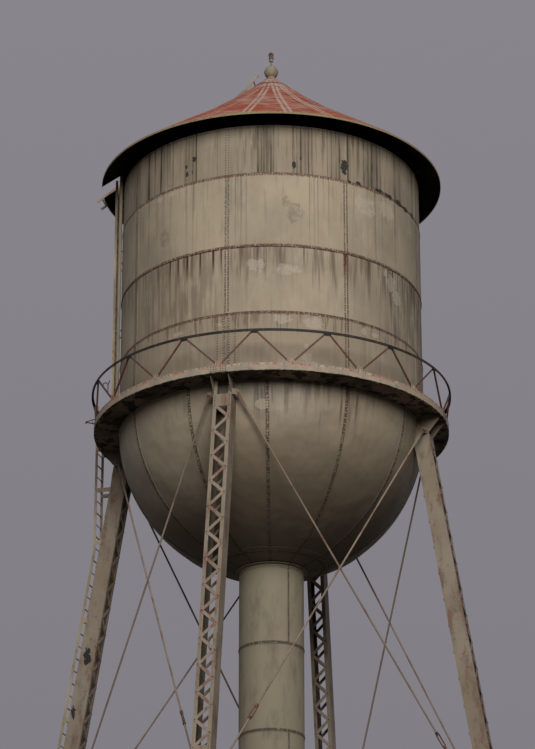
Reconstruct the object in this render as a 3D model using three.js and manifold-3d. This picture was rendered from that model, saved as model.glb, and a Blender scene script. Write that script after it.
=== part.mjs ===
// Riveted steel water tank on a four-legged laced tower, in millimetres, +Z up.
// The origin is on the tank's axis at ground level.
import * as THREE from "three";
import { mergeVertices } from "three/addons/utils/BufferGeometryUtils.js";
import Module from "manifold-3d";

const wasm = await Module();
wasm.setup();

// Driving dimensions of the tank. Heights named _Z are above the springline, where shell and bowl meet.
const SPRING_HEIGHT = 27100;
const TANK_RADIUS = 3658;
const PLATE = 8;
const GAP = 0.3;
const MERGE_DISTANCE = 1e-3;
const ROUND_SEGMENTS = 48;
const PIPE_SEGMENTS = 24;
const COURSE_SEAM_Z = [6383, 5086, 3245, 1524, 0];
const LAP = 70;

const EAVE_RADIUS = 4207;
const EAVE_Z = 6409;
const ROOF_PROFILE = [
  [4207, 6459],
  [2012, 7991],
  [1097, 8707],
  [439, 9286],
];
const ROOF_PLATE = 8;
const ROOF_DROP = 10;
const CAP_RADIUS = 520;
const CAP_DROP = 10.4;
const CAP_TOP_RADIUS = 170;
const CAP_TOP_Z = 9545;
const SLOT_AZIMUTH = 150;
const SLOT_WIDTH = 590;
const SLOT_INNER_RADIUS = 3740;
const SLOT_CUT_REACH = 400;
const SLOT_CUT_HEIGHT = 1600;
const RAFTERS = 8;
const RAFTER_DEPTH = 200;
const RAFTER_WIDTH = 14;
const RAFTER_CLEARANCE = 0.8;
const RAFTER_END_INSET = 60;
const CROWN_RING = { inner: 460, outer: 490, depth: 160, drop: 20 };
const TOP_ANGLE = 90;
const TOP_ANGLE_THICK = 12;

const BALL_RADIUS = 175;
const BALL_Z = 9775;
const BALL_STEPS = 8;
const BALL_SEGMENTS = 16;
const NECK_RADIUS = 95;
const NECK_FOOT = [50, 14];
const LAMP_STEM_RADIUS = 17;
const LAMP_FOOT = [30, 12];
const LAMP_SEGMENTS = 8;
const LAMP_Z = 10075;
const LAMP_PROFILE = [
  [48, 12],
  [48, 78],
  [62, 84],
  [62, 185],
  [68, 190],
  [58, 245],
  [0, 275],
];

// Balcony ring round the tank.
const BALCONY_RADIUS = 4260;
const BALCONY_BOTTOM_Z = -155;
const FASCIA_DEPTH = 180;
const FASCIA_FLANGE = 60;
const RAIL_RADIUS = 4332;
const RAIL_TOP_Z = 838;
const RAIL_WIDTH = 52;
const RAIL_DEPTH = 66;
const RAIL_BAYS = 16;
const RAIL_BAR = [42, 12];
const RAIL_FOOT_INSET = 28;
const RAIL_BAR_SPREAD = [8, 20];
const BRACKET_DROP = 420;
const BRACKET_THICK = 10;
const BRACKET_TIP_DEPTH = 70;
const BRACKET_TIP_CLEARANCE = 18;

// Riser pipe under the bowl.
const RISER_RADIUS = 762;
const DISH_RADIUS = 1230;
const GORE_STEPS = 7;
const DISH_STEPS = 2;
const RISER_WALL = 10;
const RISER_TOP_Z = -3560;
const RISER_SPLIT = 12600;
const RISER_CLEARANCE = 3;
const RISER_FLANGE_RADIUS = 960;
const RISER_FLANGE_THICK = 30;
const COLLAR_RADIUS = 850;
const COLLAR_THICK = 12;

// Legs: two channels each, webs outwards, on the diagonals of the square tower.
const LEG_RADIUS = 3640;
const LEG_BATTER = 0.1595;
const LEG_WIDTH = 431;
const LEG_DEPTH = 387;
const CHANNEL_WEB = 11;
const CHANNEL_FLANGE = 86;
const CHANNEL_FLANGE_THICK = 14;
const LEG_AZIMUTHS = { east: 45, north: 135, west: 225, south: 315 };
const BATTEN_THICK = 10;
const BATTEN_HEIGHT = 310;
const BASE_PLATE = 700;
const BASE_THICK = 40;
const BATTEN_Z = [26397, 17810, 16390, 9060, 7940, 700];
const SEATED = 5;

// Bracing. Each strut stands at a panel level, and each tie rod runs from pin to pin.
const PANEL_Z = [-50, -10150, -18600, -26650];
const PIN_LUG = { radial: 95, tangential: 330, drop: 492 };
const LUG_HEIGHT = 140;
const LUG_LENGTH = 192;
const LUG_SHIFT = 56;
const STRUT_DEPTH = 203;
const STRUT_FLANGE = 57;
const STRUT_START = 306;
const STRUT_FILLER = [90, 143];
const GUSSET_THICK = 12;
const GUSSET_INNER = 205;
const GUSSET_OUTER = 465;
const GUSSET_MARGIN = 75;
const GUSSET_FOOT = 100;
const PIN_OFFSET = 390;
const LOWER_PIN_SHIFT = 14;
const ROD_WIDTH = 42;
const TURNBUCKLE_WIDTH = 92;
const TURNBUCKLE_LENGTH = 420;
const TURNBUCKLE_PLACE = 0.83;
const TURNBUCKLE_SHOULDER = 30;
const FORK_LENGTH = 760;
const FORK_WIDTH = 118;
const FORK_EYE = [55, 60];

// Ladders.
const LADDER_WIDTH = 430;
const LADDER_RAIL = [12, 62];
const RUNG = 22;
const RUNG_PITCH = 305;
const STANDOFF = [40, 8];
const LEG_STANDOFF = [100, 10];
const STANDOFF_DEPTH = 30;
const SHELL_LADDER_RADIUS = 3830;
const SHELL_LADDER_RISE = 260;
const SHELL_LADDER_STANDOFF_Z = [600, 2600, 4400, 6100];
const ROOF_LADDER_AZIMUTH = 141;
const ROOF_LADDER_LIFT = 100;
const ROOF_LADDER_EAVE = [193, -39];
const ROOF_LADDER_RADII = [2012, 1097, 620];
const ROOF_LADDER_TOP = [[360, 9560], [270, 9590]];
const ROOF_LADDER_STANDOFF_RADII = [3900, 2500, 1200];
const LEG_LADDER_RADIUS = 4370;
const LEG_LADDER_TOP_Z = 1080;
const LEG_LADDER_STANDOFF = 115;
const LEG_LADDER_FOOT = 350;
const LEG_LADDER_STANDOFF_Z = [25980, 24650, 22700, 20300, 18250, 15200, 12300, 9700, 6500, 3500, 1200];
const PIPE_AZIMUTH = 158;
const PIPE_RADIUS = 42;
const PIPE_SIDES = 12;
const PIPE_CENTRE_RADIUS = 3732;
const PIPE_TOP_RISE = 240;
const PIPE_CLIP = [60, 30];
const PIPE_CLIP_Z = [700, 4600];

const radians = THREE.MathUtils.degToRad;
const FACE_TILT = Math.atan(LEG_BATTER * Math.SQRT1_2);

// Materials
function steel(color, roughness, metalness = 0.1) {
  return new THREE.MeshStandardMaterial({ color, roughness, metalness });
}
const tankPaint = steel(0x978b74, 0.85);
const roofPaint = steel(0xa6523c, 0.8);
const legPaint = steel(0x9c8e78, 0.8);
const rustySteel = steel(0x8a5a40, 0.9);
const darkSteel = steel(0x2b2622, 0.85);
const lampGlass = steel(0xb59b72, 0.4);

// Geometry helpers
function toSolid(geometry) {
  const bare = geometry.index ? geometry.toNonIndexed() : geometry.clone();
  bare.deleteAttribute("normal");
  bare.deleteAttribute("uv");
  const merged = mergeVertices(bare, MERGE_DISTANCE);
  return new wasm.Manifold(
    new wasm.Mesh({
      numProp: 3,
      vertProperties: new Float32Array(merged.attributes.position.array),
      triVerts: new Uint32Array(merged.index.array),
    }),
  );
}

function toGeometry(solid) {
  const mesh = solid.getMesh();
  const geometry = new THREE.BufferGeometry();
  geometry.setAttribute("position", new THREE.BufferAttribute(mesh.vertProperties, 3));
  geometry.setIndex(new THREE.BufferAttribute(mesh.triVerts, 1));
  geometry.computeVertexNormals();
  return geometry;
}

function join(solids) {
  return solids.reduce((whole, piece) => whole.add(piece));
}

// A closed profile of [radius, z] points turned round the Z axis.
function turned(profile, segments = ROUND_SEGMENTS) {
  let area = 0;
  profile.forEach(([r, z], i) => {
    const [nextR, nextZ] = profile[(i + 1) % profile.length];
    area += r * nextZ - nextR * z;
  });
  const ordered = area > 0 ? profile : [...profile].reverse();
  const points = [...ordered, ordered[0]].map(([r, z]) => new THREE.Vector2(r, z));
  return toSolid(new THREE.LatheGeometry(points, segments).rotateX(Math.PI / 2));
}

function ring(innerRadius, outerRadius, low, high, segments = ROUND_SEGMENTS) {
  const profile = [
    [innerRadius, low],
    [outerRadius, low],
    [outerRadius, high],
    [innerRadius, high],
  ];
  return turned(profile, segments);
}

function box(sizeX, sizeY, sizeZ, x, y, z) {
  return toSolid(new THREE.BoxGeometry(sizeX, sizeY, sizeZ).translate(x, y, z));
}

// Axes of a bar from p to q: first axis across, second along normal, third along the bar.
function barFrame(p, q, normal) {
  const along = q.clone().sub(p).normalize();
  const across = normal.clone().cross(along).normalize();
  const up = along.clone().cross(across);
  return new THREE.Matrix4().makeBasis(across, up, along).setPosition(p);
}

function bar(p, q, width, depth, normal) {
  const length = p.distanceTo(q);
  const geometry = new THREE.BoxGeometry(width, depth, length).translate(0, 0, length / 2);
  return toSolid(geometry.applyMatrix4(barFrame(p, q, normal)));
}

// A bar of changing rectangular section: each station is [distance, width, depth] along the way from p to q.
function tapered(p, q, normal, stations) {
  const corners = [[-0.5, -0.5], [0.5, -0.5], [0.5, 0.5], [-0.5, 0.5]];
  const positions = [];
  for (const [distance, width, depth] of stations) {
    corners.forEach(([x, y]) => positions.push(x * width, y * depth, distance));
  }
  const last = 4 * (stations.length - 1);
  const faces = [0, 2, 1, 0, 3, 2, last, last + 1, last + 2, last, last + 2, last + 3];
  for (let i = 0; i < last; i += 4) {
    for (let k = 0; k < 4; k++) {
      const next = (k + 1) % 4;
      faces.push(i + k, i + next, i + 4 + next, i + k, i + 4 + next, i + 4 + k);
    }
  }
  const geometry = new THREE.BufferGeometry();
  geometry.setAttribute("position", new THREE.Float32BufferAttribute(positions, 3));
  geometry.setIndex(faces);
  return toSolid(geometry.applyMatrix4(barFrame(p, q, normal)));
}

function extrude(points, depth) {
  const shape = new THREE.Shape(points.map(([x, y]) => new THREE.Vector2(x, y)));
  return new THREE.ExtrudeGeometry(shape, { depth, bevelEnabled: false });
}

const vector = (x, y, z) => new THREE.Vector3(x, y, z);
const around = (radius, azimuth, z, sideways = 0) =>
  vector(
    radius * Math.cos(radians(azimuth)) - sideways * Math.sin(radians(azimuth)),
    radius * Math.sin(radians(azimuth)) + sideways * Math.cos(radians(azimuth)),
    z,
  );

const part = new THREE.Group();
const tank = new THREE.Group();
tank.position.z = SPRING_HEIGHT;
part.add(tank);

function addPiece(group, name, solid, material, azimuth = 0) {
  const mesh = new THREE.Mesh(toGeometry(solid), material);
  mesh.name = name;
  mesh.rotation.z = radians(azimuth);
  group.add(mesh);
}

// Shell courses lap at their seams, the second and fourth outside the others.
function shellCourse(index) {
  const outside = index % 2 === 1;
  const inner = outside ? TANK_RADIUS : TANK_RADIUS - PLATE - GAP;
  const top = index === 0 ? COURSE_SEAM_Z[0] : COURSE_SEAM_Z[index] + LAP / 2;
  return ring(inner, inner + PLATE, COURSE_SEAM_Z[index + 1] - LAP / 2, top);
}

// Points of the bowl's meridian between two distances from the axis, on a sphere of the given radius.
function meridian(radius, fromRadius, toRadius, steps) {
  const start = Math.asin(fromRadius / TANK_RADIUS);
  const end = Math.asin(toRadius / TANK_RADIUS);
  return Array.from({ length: steps + 1 }, (_, i) => {
    const angle = start + ((end - start) * i) / steps;
    return [radius * Math.sin(angle), -radius * Math.cos(angle)];
  });
}

const goreMeridian = (radius) => meridian(radius, DISH_RADIUS + GAP, TANK_RADIUS, GORE_STEPS);
const dishMeridian = (radius) => meridian(radius, RISER_RADIUS + RISER_CLEARANCE, DISH_RADIUS, DISH_STEPS);

// The bowl's gores end above in a straight band inside the lowest course, and below at the dish.
function bowl() {
  const outer = TANK_RADIUS - GAP;
  const inner = outer - PLATE;
  const inside = goreMeridian(inner).reverse();
  return turned([...goreMeridian(outer), [outer, LAP], [inner, LAP], ...inside]);
}

// The dish closes the bowl below and has the riser's hole in its middle.
function bowlDish() {
  const outer = TANK_RADIUS - GAP;
  return turned([...dishMeridian(outer), ...dishMeridian(outer - PLATE).reverse()]);
}

function roofHeight(radius) {
  const index = ROOF_PROFILE.findIndex(([r]) => r <= radius);
  const last = ROOF_PROFILE.length - 1;
  const high = index < 0 ? last : Math.max(index, 1);
  const [r0, z0] = ROOF_PROFILE[high - 1];
  const [r1, z1] = ROOF_PROFILE[high];
  return z0 + ((z1 - z0) * (radius - r0)) / (r1 - r0);
}

// A box as wide as the eave slot, from its inner end outwards, standing at the given azimuth.
function slotCutter() {
  const length = EAVE_RADIUS - SLOT_INNER_RADIUS + SLOT_CUT_REACH;
  const cutter = new THREE.BoxGeometry(length, SLOT_WIDTH, SLOT_CUT_HEIGHT)
    .translate(SLOT_INNER_RADIUS + length / 2, 0, EAVE_Z)
    .rotateZ(radians(SLOT_AZIMUTH));
  return toSolid(cutter);
}

function roof() {
  const top = ROOF_PROFILE;
  const underside = top
    .slice(1)
    .reverse()
    .map(([r, z]) => [r, z - ROOF_DROP]);
  const lip = EAVE_RADIUS - ROOF_PLATE;
  const profile = [
    [EAVE_RADIUS, EAVE_Z],
    ...top,
    ...underside,
    [lip, roofHeight(lip) - ROOF_DROP],
    [lip, EAVE_Z],
  ];
  return turned(profile).subtract(slotCutter());
}

function roofCap() {
  const skin = ROOF_PLATE;
  const seat = roofHeight(CAP_RADIUS) + GAP;
  const [shoulderRadius, shoulderZ] = ROOF_PROFILE.at(-1);
  const shoulder = [shoulderRadius, shoulderZ + GAP];
  return turned([
    [0, CAP_TOP_Z],
    [0, CAP_TOP_Z - skin],
    [CAP_TOP_RADIUS - skin, CAP_TOP_Z - skin],
    shoulder,
    [CAP_RADIUS, seat],
    [CAP_RADIUS, seat + CAP_DROP],
    [shoulder[0], shoulder[1] + CAP_DROP],
    [CAP_TOP_RADIUS, CAP_TOP_Z],
  ]);
}

// Rafters stand on the shell's top angle and meet a ring under the cap. The roof plates rest on them.
function roofFrame() {
  const under = (radius) => roofHeight(radius) - ROOF_DROP - RAFTER_CLEARANCE;
  const shellInner = TANK_RADIUS - PLATE - GAP;
  const topOfShell = COURSE_SEAM_Z[0];
  const seatIn = shellInner - TOP_ANGLE;
  const seatZ = topOfShell + TOP_ANGLE_THICK / 2;
  const angleRing = ring(seatIn, TANK_RADIUS - GAP, topOfShell, topOfShell + TOP_ANGLE_THICK);
  const outerEnd = EAVE_RADIUS - RAFTER_END_INSET;
  const [, [kneeRadius], [shoulderRadius]] = ROOF_PROFILE;
  const crownEnd = CROWN_RING.outer - CROWN_RING.drop / 2;
  const outline = [
    [outerEnd, under(outerEnd)],
    [kneeRadius, under(kneeRadius)],
    [shoulderRadius, under(shoulderRadius)],
    [crownEnd, under(crownEnd)],
    [crownEnd, under(crownEnd) - RAFTER_DEPTH],
    [seatIn, under(seatIn) - RAFTER_DEPTH],
    [seatIn, seatZ],
    [seatIn + TOP_ANGLE, seatZ],
  ];
  const web = extrude(outline, RAFTER_WIDTH)
    .translate(0, 0, -RAFTER_WIDTH / 2)
    .rotateX(Math.PI / 2);
  const rafters = Array.from({ length: RAFTERS }, (_, i) =>
    toSolid(web.clone().rotateZ(radians((i * 360) / RAFTERS))),
  );
  const crownTop = under(CROWN_RING.outer) - CROWN_RING.drop;
  const crownRing = ring(CROWN_RING.inner, CROWN_RING.outer, crownTop - CROWN_RING.depth, crownTop);
  return join([angleRing, crownRing, ...rafters]);
}

function finial() {
  const start = Math.asin(NECK_RADIUS / BALL_RADIUS);
  const ball = Array.from({ length: BALL_STEPS + 1 }, (_, i) => {
    const angle = start + ((Math.PI - start) * i) / BALL_STEPS;
    return [Math.max(0, BALL_RADIUS * Math.sin(angle)), BALL_Z - BALL_RADIUS * Math.cos(angle)];
  });
  const [footWidth, footHeight] = NECK_FOOT;
  const foot = [
    [0, CAP_TOP_Z],
    [NECK_RADIUS + footWidth, CAP_TOP_Z],
    [NECK_RADIUS + footWidth, CAP_TOP_Z + footHeight],
    [NECK_RADIUS, CAP_TOP_Z + footHeight],
  ];
  return turned([...foot, ...ball], BALL_SEGMENTS);
}

function topLamp() {
  const bottom = BALL_Z + BALL_RADIUS + GAP;
  const [footRadius, footHeight] = LAMP_FOOT;
  const stem = [
    [0, bottom],
    [footRadius, bottom],
    [footRadius, bottom + footHeight],
    [LAMP_STEM_RADIUS, bottom + footHeight],
    [LAMP_STEM_RADIUS, LAMP_Z],
  ];
  const lamp = LAMP_PROFILE.map(([r, z]) => [r, LAMP_Z + z]);
  return turned([...stem, ...lamp], LAMP_SEGMENTS);
}

// Balcony
function balconyFloor() {
  const underside = BALCONY_BOTTOM_Z + PLATE;
  return ring(TANK_RADIUS + GAP, BALCONY_RADIUS - PLATE - GAP, underside, underside + PLATE);
}

function balconyGirder() {
  const low = BALCONY_BOTTOM_Z;
  const high = low + FASCIA_DEPTH;
  const toe = BALCONY_RADIUS - PLATE - FASCIA_FLANGE;
  const web = BALCONY_RADIUS - PLATE;
  return turned([
    [toe, low],
    [BALCONY_RADIUS, low],
    [BALCONY_RADIUS, high],
    [toe, high],
    [toe, high - PLATE],
    [web, high - PLATE],
    [web, low + PLATE],
    [toe, low + PLATE],
  ]);
}

// The handrail leans out over the balcony's edge. Its flat bars form a zigzag of sixteen bays.
function handrail() {
  const footZ = BALCONY_BOTTOM_Z + FASCIA_DEPTH;
  const footRadius = BALCONY_RADIUS - RAIL_FOOT_INSET;
  const railMid = RAIL_RADIUS - RAIL_WIDTH / 2;
  const railZ = RAIL_TOP_Z - RAIL_DEPTH / 2;
  const [barWidth, barThick] = RAIL_BAR;
  const [footSpread, headSpread] = RAIL_BAR_SPREAD;
  const pieces = [ring(RAIL_RADIUS - RAIL_WIDTH, RAIL_RADIUS, RAIL_TOP_Z - RAIL_DEPTH, RAIL_TOP_Z)];
  const bay = 360 / RAIL_BAYS;
  for (let i = 0; i < RAIL_BAYS; i++) {
    const azimuth = i * bay;
    for (const side of [-1, 1]) {
      const foot = around(footRadius, azimuth, footZ - barThick, side * footSpread);
      const head = around(railMid, azimuth + (side * bay) / 2, railZ, -side * headSpread);
      pieces.push(bar(foot, head, barWidth, barThick, around(1, azimuth + (side * bay) / 4, 0)));
    }
  }
  return join(pieces).subtract(ring(TANK_RADIUS, RAIL_RADIUS, footZ - FASCIA_DEPTH, footZ));
}

// Riser pipe, hollow and open at both ends, on a flange at the ground.
function riserUpper() {
  const [, dishEdge] = dishMeridian(TANK_RADIUS - GAP)[0];
  const collarTop = SPRING_HEIGHT + dishEdge - GAP;
  const top = SPRING_HEIGHT + RISER_TOP_Z;
  const pipe = ring(RISER_RADIUS - RISER_WALL, RISER_RADIUS, RISER_SPLIT, top, PIPE_SEGMENTS);
  const collarInner = RISER_RADIUS - RISER_WALL / 2;
  return pipe.add(ring(collarInner, COLLAR_RADIUS, collarTop - COLLAR_THICK, collarTop, PIPE_SEGMENTS));
}

function riserLower() {
  const pipe = ring(RISER_RADIUS - RISER_WALL, RISER_RADIUS, 0, RISER_SPLIT, PIPE_SEGMENTS);
  const flangeInner = RISER_RADIUS - RISER_WALL / 2;
  return pipe.add(ring(flangeInner, RISER_FLANGE_RADIUS, 0, RISER_FLANGE_THICK, PIPE_SEGMENTS));
}

// Legs are drawn upright in X (radial), Y (tangential) and then sheared to their batter.
const legRadius = (z) => LEG_RADIUS - LEG_BATTER * (z - SPRING_HEIGHT);

// How far along a tower face the leg's axis lies from the face's middle.
const legAlong = (z) => legRadius(z) * Math.SQRT1_2;

const legShear = new THREE.Matrix4().set(
  1, 0, -LEG_BATTER, LEG_RADIUS + LEG_BATTER * SPRING_HEIGHT,
  0, 1, 0, 0,
  0, 0, 1, 0,
  0, 0, 0, 1,
);

function legChannel(side, low, high) {
  const half = LEG_DEPTH / 2;
  const back = LEG_WIDTH / 2;
  const toe = back - CHANNEL_FLANGE;
  const flange = half - CHANNEL_FLANGE_THICK;
  const outline = [
    [-half, toe],
    [-flange, toe],
    [-flange, back - CHANNEL_WEB],
    [flange, back - CHANNEL_WEB],
    [flange, toe],
    [half, toe],
    [half, back],
    [-half, back],
  ];
  const geometry = extrude(outline, high - low).translate(0, 0, low);
  return side > 0 ? geometry : geometry.rotateZ(Math.PI);
}

function legBatten(face, z, height) {
  const x = face * (LEG_DEPTH / 2 + BATTEN_THICK / 2 - 1);
  return new THREE.BoxGeometry(BATTEN_THICK, LEG_WIDTH, height).translate(x, 0, z);
}

// The height above or below a panel level at which the rods of a panel cross the line of pins.
function pinRise(panel) {
  const upper = SPRING_HEIGHT + PANEL_Z[panel];
  const lower = SPRING_HEIGHT + PANEL_Z[panel + 1];
  return (PIN_OFFSET * (upper - lower)) / (legAlong(upper) + legAlong(lower));
}

// A gusset stands in the plane of a tower face, at 45 degrees to the leg's own axes.
function gusset(side, level, above, below) {
  const outline = [
    [GUSSET_INNER, -below],
    [GUSSET_OUTER, -below],
    [GUSSET_OUTER, above],
    [GUSSET_INNER, above],
  ];
  return extrude(outline, GUSSET_THICK)
    .translate(0, 0, -GUSSET_THICK / 2)
    .rotateX(Math.PI / 2)
    .rotateZ(radians(180 - side * 45))
    .translate(0, 0, level);
}

// The highest rods are pinned to a lug on the leg's web, which points along the rod in plan.
function pinLug(side) {
  const pinZ = SPRING_HEIGHT - PIN_LUG.drop;
  const footZ = SPRING_HEIGHT + PANEL_Z[1] + pinRise(0);
  const inset = PIN_OFFSET * Math.SQRT1_2;
  const across = legRadius(footZ) - inset - PIN_LUG.tangential;
  const inward = legRadius(pinZ) + PIN_LUG.radial - inset;
  return new THREE.BoxGeometry(LUG_LENGTH, GUSSET_THICK, LUG_HEIGHT)
    .translate(-LUG_SHIFT, 0, 0)
    .rotateZ(side * Math.atan2(across, -inward))
    .translate(legRadius(pinZ) + PIN_LUG.radial, side * PIN_LUG.tangential, pinZ);
}

function leg() {
  const floor = SPRING_HEIGHT + BALCONY_BOTTOM_Z + PLATE;
  const levels = PANEL_Z.map((z) => SPRING_HEIGHT + z);
  const foot = BASE_THICK - SEATED;
  const pieces = [legChannel(1, foot, floor), legChannel(-1, foot, floor)];
  for (const z of BATTEN_Z) {
    for (const face of [-1, 1]) {
      pieces.push(legBatten(face, z, BATTEN_HEIGHT));
    }
  }
  for (const side of [-1, 1]) {
    pieces.push(gusset(side, levels[1], pinRise(0) + GUSSET_MARGIN, pinRise(1) + GUSSET_MARGIN));
    pieces.push(gusset(side, levels[2], pinRise(1) + GUSSET_MARGIN, pinRise(2) + GUSSET_MARGIN));
    pieces.push(gusset(side, levels[3], pinRise(2) + GUSSET_MARGIN, GUSSET_FOOT));
  }
  const sheared = pieces.map((geometry) => toSolid(geometry.applyMatrix4(legShear)));
  const base = box(BASE_PLATE, BASE_PLATE, BASE_THICK, legRadius(0), 0, BASE_THICK / 2);
  const bowlSpace = turned([
    [0, LAP],
    [0, -TANK_RADIUS],
    ...dishMeridian(TANK_RADIUS + GAP),
    ...goreMeridian(TANK_RADIUS + GAP),
    [TANK_RADIUS + GAP, LAP],
  ]).translate([0, 0, SPRING_HEIGHT]);
  const lugs = [-1, 1].map((side) => toSolid(pinLug(side)));
  return join([...sheared, ...lugs, ...balconyBrackets(floor), base]).subtract(bowlSpace);
}

// Two triangular plates carry the balcony's edge from each leg.
function balconyBrackets(floor) {
  const tip = BALCONY_RADIUS - PLATE - FASCIA_FLANGE - BRACKET_TIP_CLEARANCE;
  const heel = (z) => legRadius(z) + LEG_DEPTH / 2 - STANDOFF_DEPTH;
  const outline = [
    [heel(floor), floor],
    [heel(floor - BRACKET_DROP), floor - BRACKET_DROP],
    [tip, floor - BRACKET_TIP_DEPTH],
    [tip, floor],
  ];
  return [-1, 1].map((side) => {
    const plate = extrude(outline, BRACKET_THICK).translate(0, 0, -BRACKET_THICK / 2);
    const y = side * (LEG_WIDTH / 2 - CHANNEL_WEB / 2);
    return toSolid(plate.rotateX(Math.PI / 2).translate(0, y, 0));
  });
}

// A point beside a leg: u outwards from its axis, t round towards the next leg.
const legPoint = (azimuth, z, u, t) => around(legRadius(z) + u, azimuth, z, t);

// A strut is two channels back to back, on both sides of the gussets, with fillers between them.
function strut(azimuth, level) {
  const length = 2 * (legAlong(level) - STRUT_START);
  const offset = GUSSET_THICK / 2 + GAP;
  const edge = STRUT_DEPTH / 2 - PLATE / 2;
  const [fillerLength, fillerDepth] = STRUT_FILLER;
  const boxes = [];
  for (const side of [-1, 1]) {
    boxes.push([PLATE, length, STRUT_DEPTH, side * (offset + PLATE / 2), 0, 0]);
    boxes.push([STRUT_FLANGE, length, PLATE, side * (offset + STRUT_FLANGE / 2), 0, edge]);
    boxes.push([STRUT_FLANGE, length, PLATE, side * (offset + STRUT_FLANGE / 2), 0, -edge]);
    boxes.push([2 * offset + SEATED, fillerLength, fillerDepth, 0, (side * length) / 4, 0]);
  }
  return join(boxes.map((sizes) => box(...sizes)))
    .rotate([0, THREE.MathUtils.radToDeg(-FACE_TILT), azimuth])
    .translate(around(legAlong(level), azimuth, level).toArray());
}

// A tie rod from one leg's upper pin to the next leg's lower one. Crossing rods pass on either side
// of the gussets.
function tieRod(azimuth, panel, direction) {
  const inset = PIN_OFFSET * Math.SQRT1_2;
  const upper = SPRING_HEIGHT + PANEL_Z[panel] - pinRise(panel);
  const lower = SPRING_HEIGHT + PANEL_Z[panel + 1] + pinRise(panel);
  const fromLeg = azimuth + 45 * direction;
  const toLeg = azimuth - 45 * direction;
  const lugZ = SPRING_HEIGHT - PIN_LUG.drop;
  const start =
    panel === 0
      ? legPoint(fromLeg, lugZ, PIN_LUG.radial, -direction * PIN_LUG.tangential)
      : legPoint(fromLeg, upper, -inset, -direction * inset);
  const end = legPoint(toLeg, lower, -inset, direction * inset);
  const normal =
    panel === 0
      ? vector(0, 0, 1).cross(end.clone().sub(start)).normalize()
      : around(direction, azimuth, direction * Math.tan(FACE_TILT)).normalize();
  const beside = GUSSET_THICK / 2 + GAP + ROD_WIDTH / 2;
  start.addScaledVector(normal, beside);
  end.addScaledVector(normal, panel === 0 ? beside + LOWER_PIN_SHIFT : beside);
  const length = start.distanceTo(end);
  const buckle = TURNBUCKLE_PLACE * length;
  const buckleEnd = buckle + TURNBUCKLE_LENGTH;
  const [eyeOut, eyeIn] = FORK_EYE;
  return tapered(start, end, normal, [
    [-eyeOut, FORK_WIDTH, ROD_WIDTH],
    [eyeIn, FORK_WIDTH, ROD_WIDTH],
    [FORK_LENGTH, ROD_WIDTH, ROD_WIDTH],
    [buckle, ROD_WIDTH, ROD_WIDTH],
    [buckle + TURNBUCKLE_SHOULDER, TURNBUCKLE_WIDTH, ROD_WIDTH],
    [buckleEnd - TURNBUCKLE_SHOULDER, TURNBUCKLE_WIDTH, ROD_WIDTH],
    [buckleEnd, ROD_WIDTH, ROD_WIDTH],
    [length - FORK_LENGTH, ROD_WIDTH, ROD_WIDTH],
    [length - eyeIn, FORK_WIDTH, ROD_WIDTH],
    [length + eyeOut, FORK_WIDTH, ROD_WIDTH],
  ]);
}

// The outline of a flat bar that follows a path of [radius, z] points, half of its width on each side.
function railOutline(path, halfWidth) {
  const points = path.map(([r, z]) => new THREE.Vector2(r, z));
  const headings = points.slice(1).map((point, i) => point.clone().sub(points[i]).normalize());
  const corner = (i, side) => {
    const before = headings[Math.max(i - 1, 0)];
    const after = headings[Math.min(i, headings.length - 1)];
    const middle = before.clone().add(after).normalize();
    const reach = (side * halfWidth) / middle.dot(after);
    return [points[i].x - middle.y * reach, points[i].y + middle.x * reach];
  };
  const there = points.map((_, i) => corner(i, 1));
  const back = points.map((_, i) => corner(i, -1)).reverse();
  return [...there, ...back];
}

// Ladder of two flat rails through the same path of [radius, z] points, with rungs along it.
function ladder(azimuth, path, standoffs, pitch = RUNG_PITCH, standoffSize = STANDOFF) {
  const pieces = [];
  const outward = around(1, azimuth, 0);
  const sidewards = around(0, azimuth, 0, 1);
  const point = ([r, z], side) => around(r, azimuth, z, (side * LADDER_WIDTH) / 2);
  const [railThick, railDepth] = LADDER_RAIL;
  const [standoffWidth, standoffThick] = standoffSize;
  for (const side of [-1, 1]) {
    const rail = extrude(railOutline(path, railDepth / 2), railThick)
      .translate(0, 0, (side * LADDER_WIDTH - railThick) / 2)
      .rotateX(Math.PI / 2)
      .rotateZ(radians(azimuth));
    pieces.push(toSolid(rail));
    for (const [[r0, z0], [r1, z1]] of standoffs) {
      const foot = point([r0, z0], side);
      pieces.push(bar(foot, point([r1, z1], side), standoffWidth, standoffThick, sidewards));
    }
  }
  for (const [r, z] of alongPath(path, pitch)) {
    pieces.push(bar(point([r, z], -1), point([r, z], 1), RUNG, RUNG, outward));
  }
  return join(pieces);
}

function alongPath(path, pitch) {
  const stations = [];
  let carry = pitch / 2;
  for (let i = 0; i + 1 < path.length; i++) {
    const [r0, z0] = path[i];
    const [r1, z1] = path[i + 1];
    const length = Math.hypot(r1 - r0, z1 - z0);
    for (let s = carry; s < length; s += pitch) {
      stations.push([r0 + ((r1 - r0) * s) / length, z0 + ((z1 - z0) * s) / length]);
      carry = s + pitch - length;
    }
  }
  return stations;
}

// The space that the shell fills, a little larger all round.
function shellSpace() {
  const edges = COURSE_SEAM_Z.flatMap((z, i) => {
    const radius = i % 2 === 1 ? TANK_RADIUS : TANK_RADIUS + PLATE + GAP;
    return i === 0 ? [] : [[radius, COURSE_SEAM_Z[i - 1]], [radius, z]];
  });
  return turned([[0, 0], [0, COURSE_SEAM_Z[0]], ...edges]);
}

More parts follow.
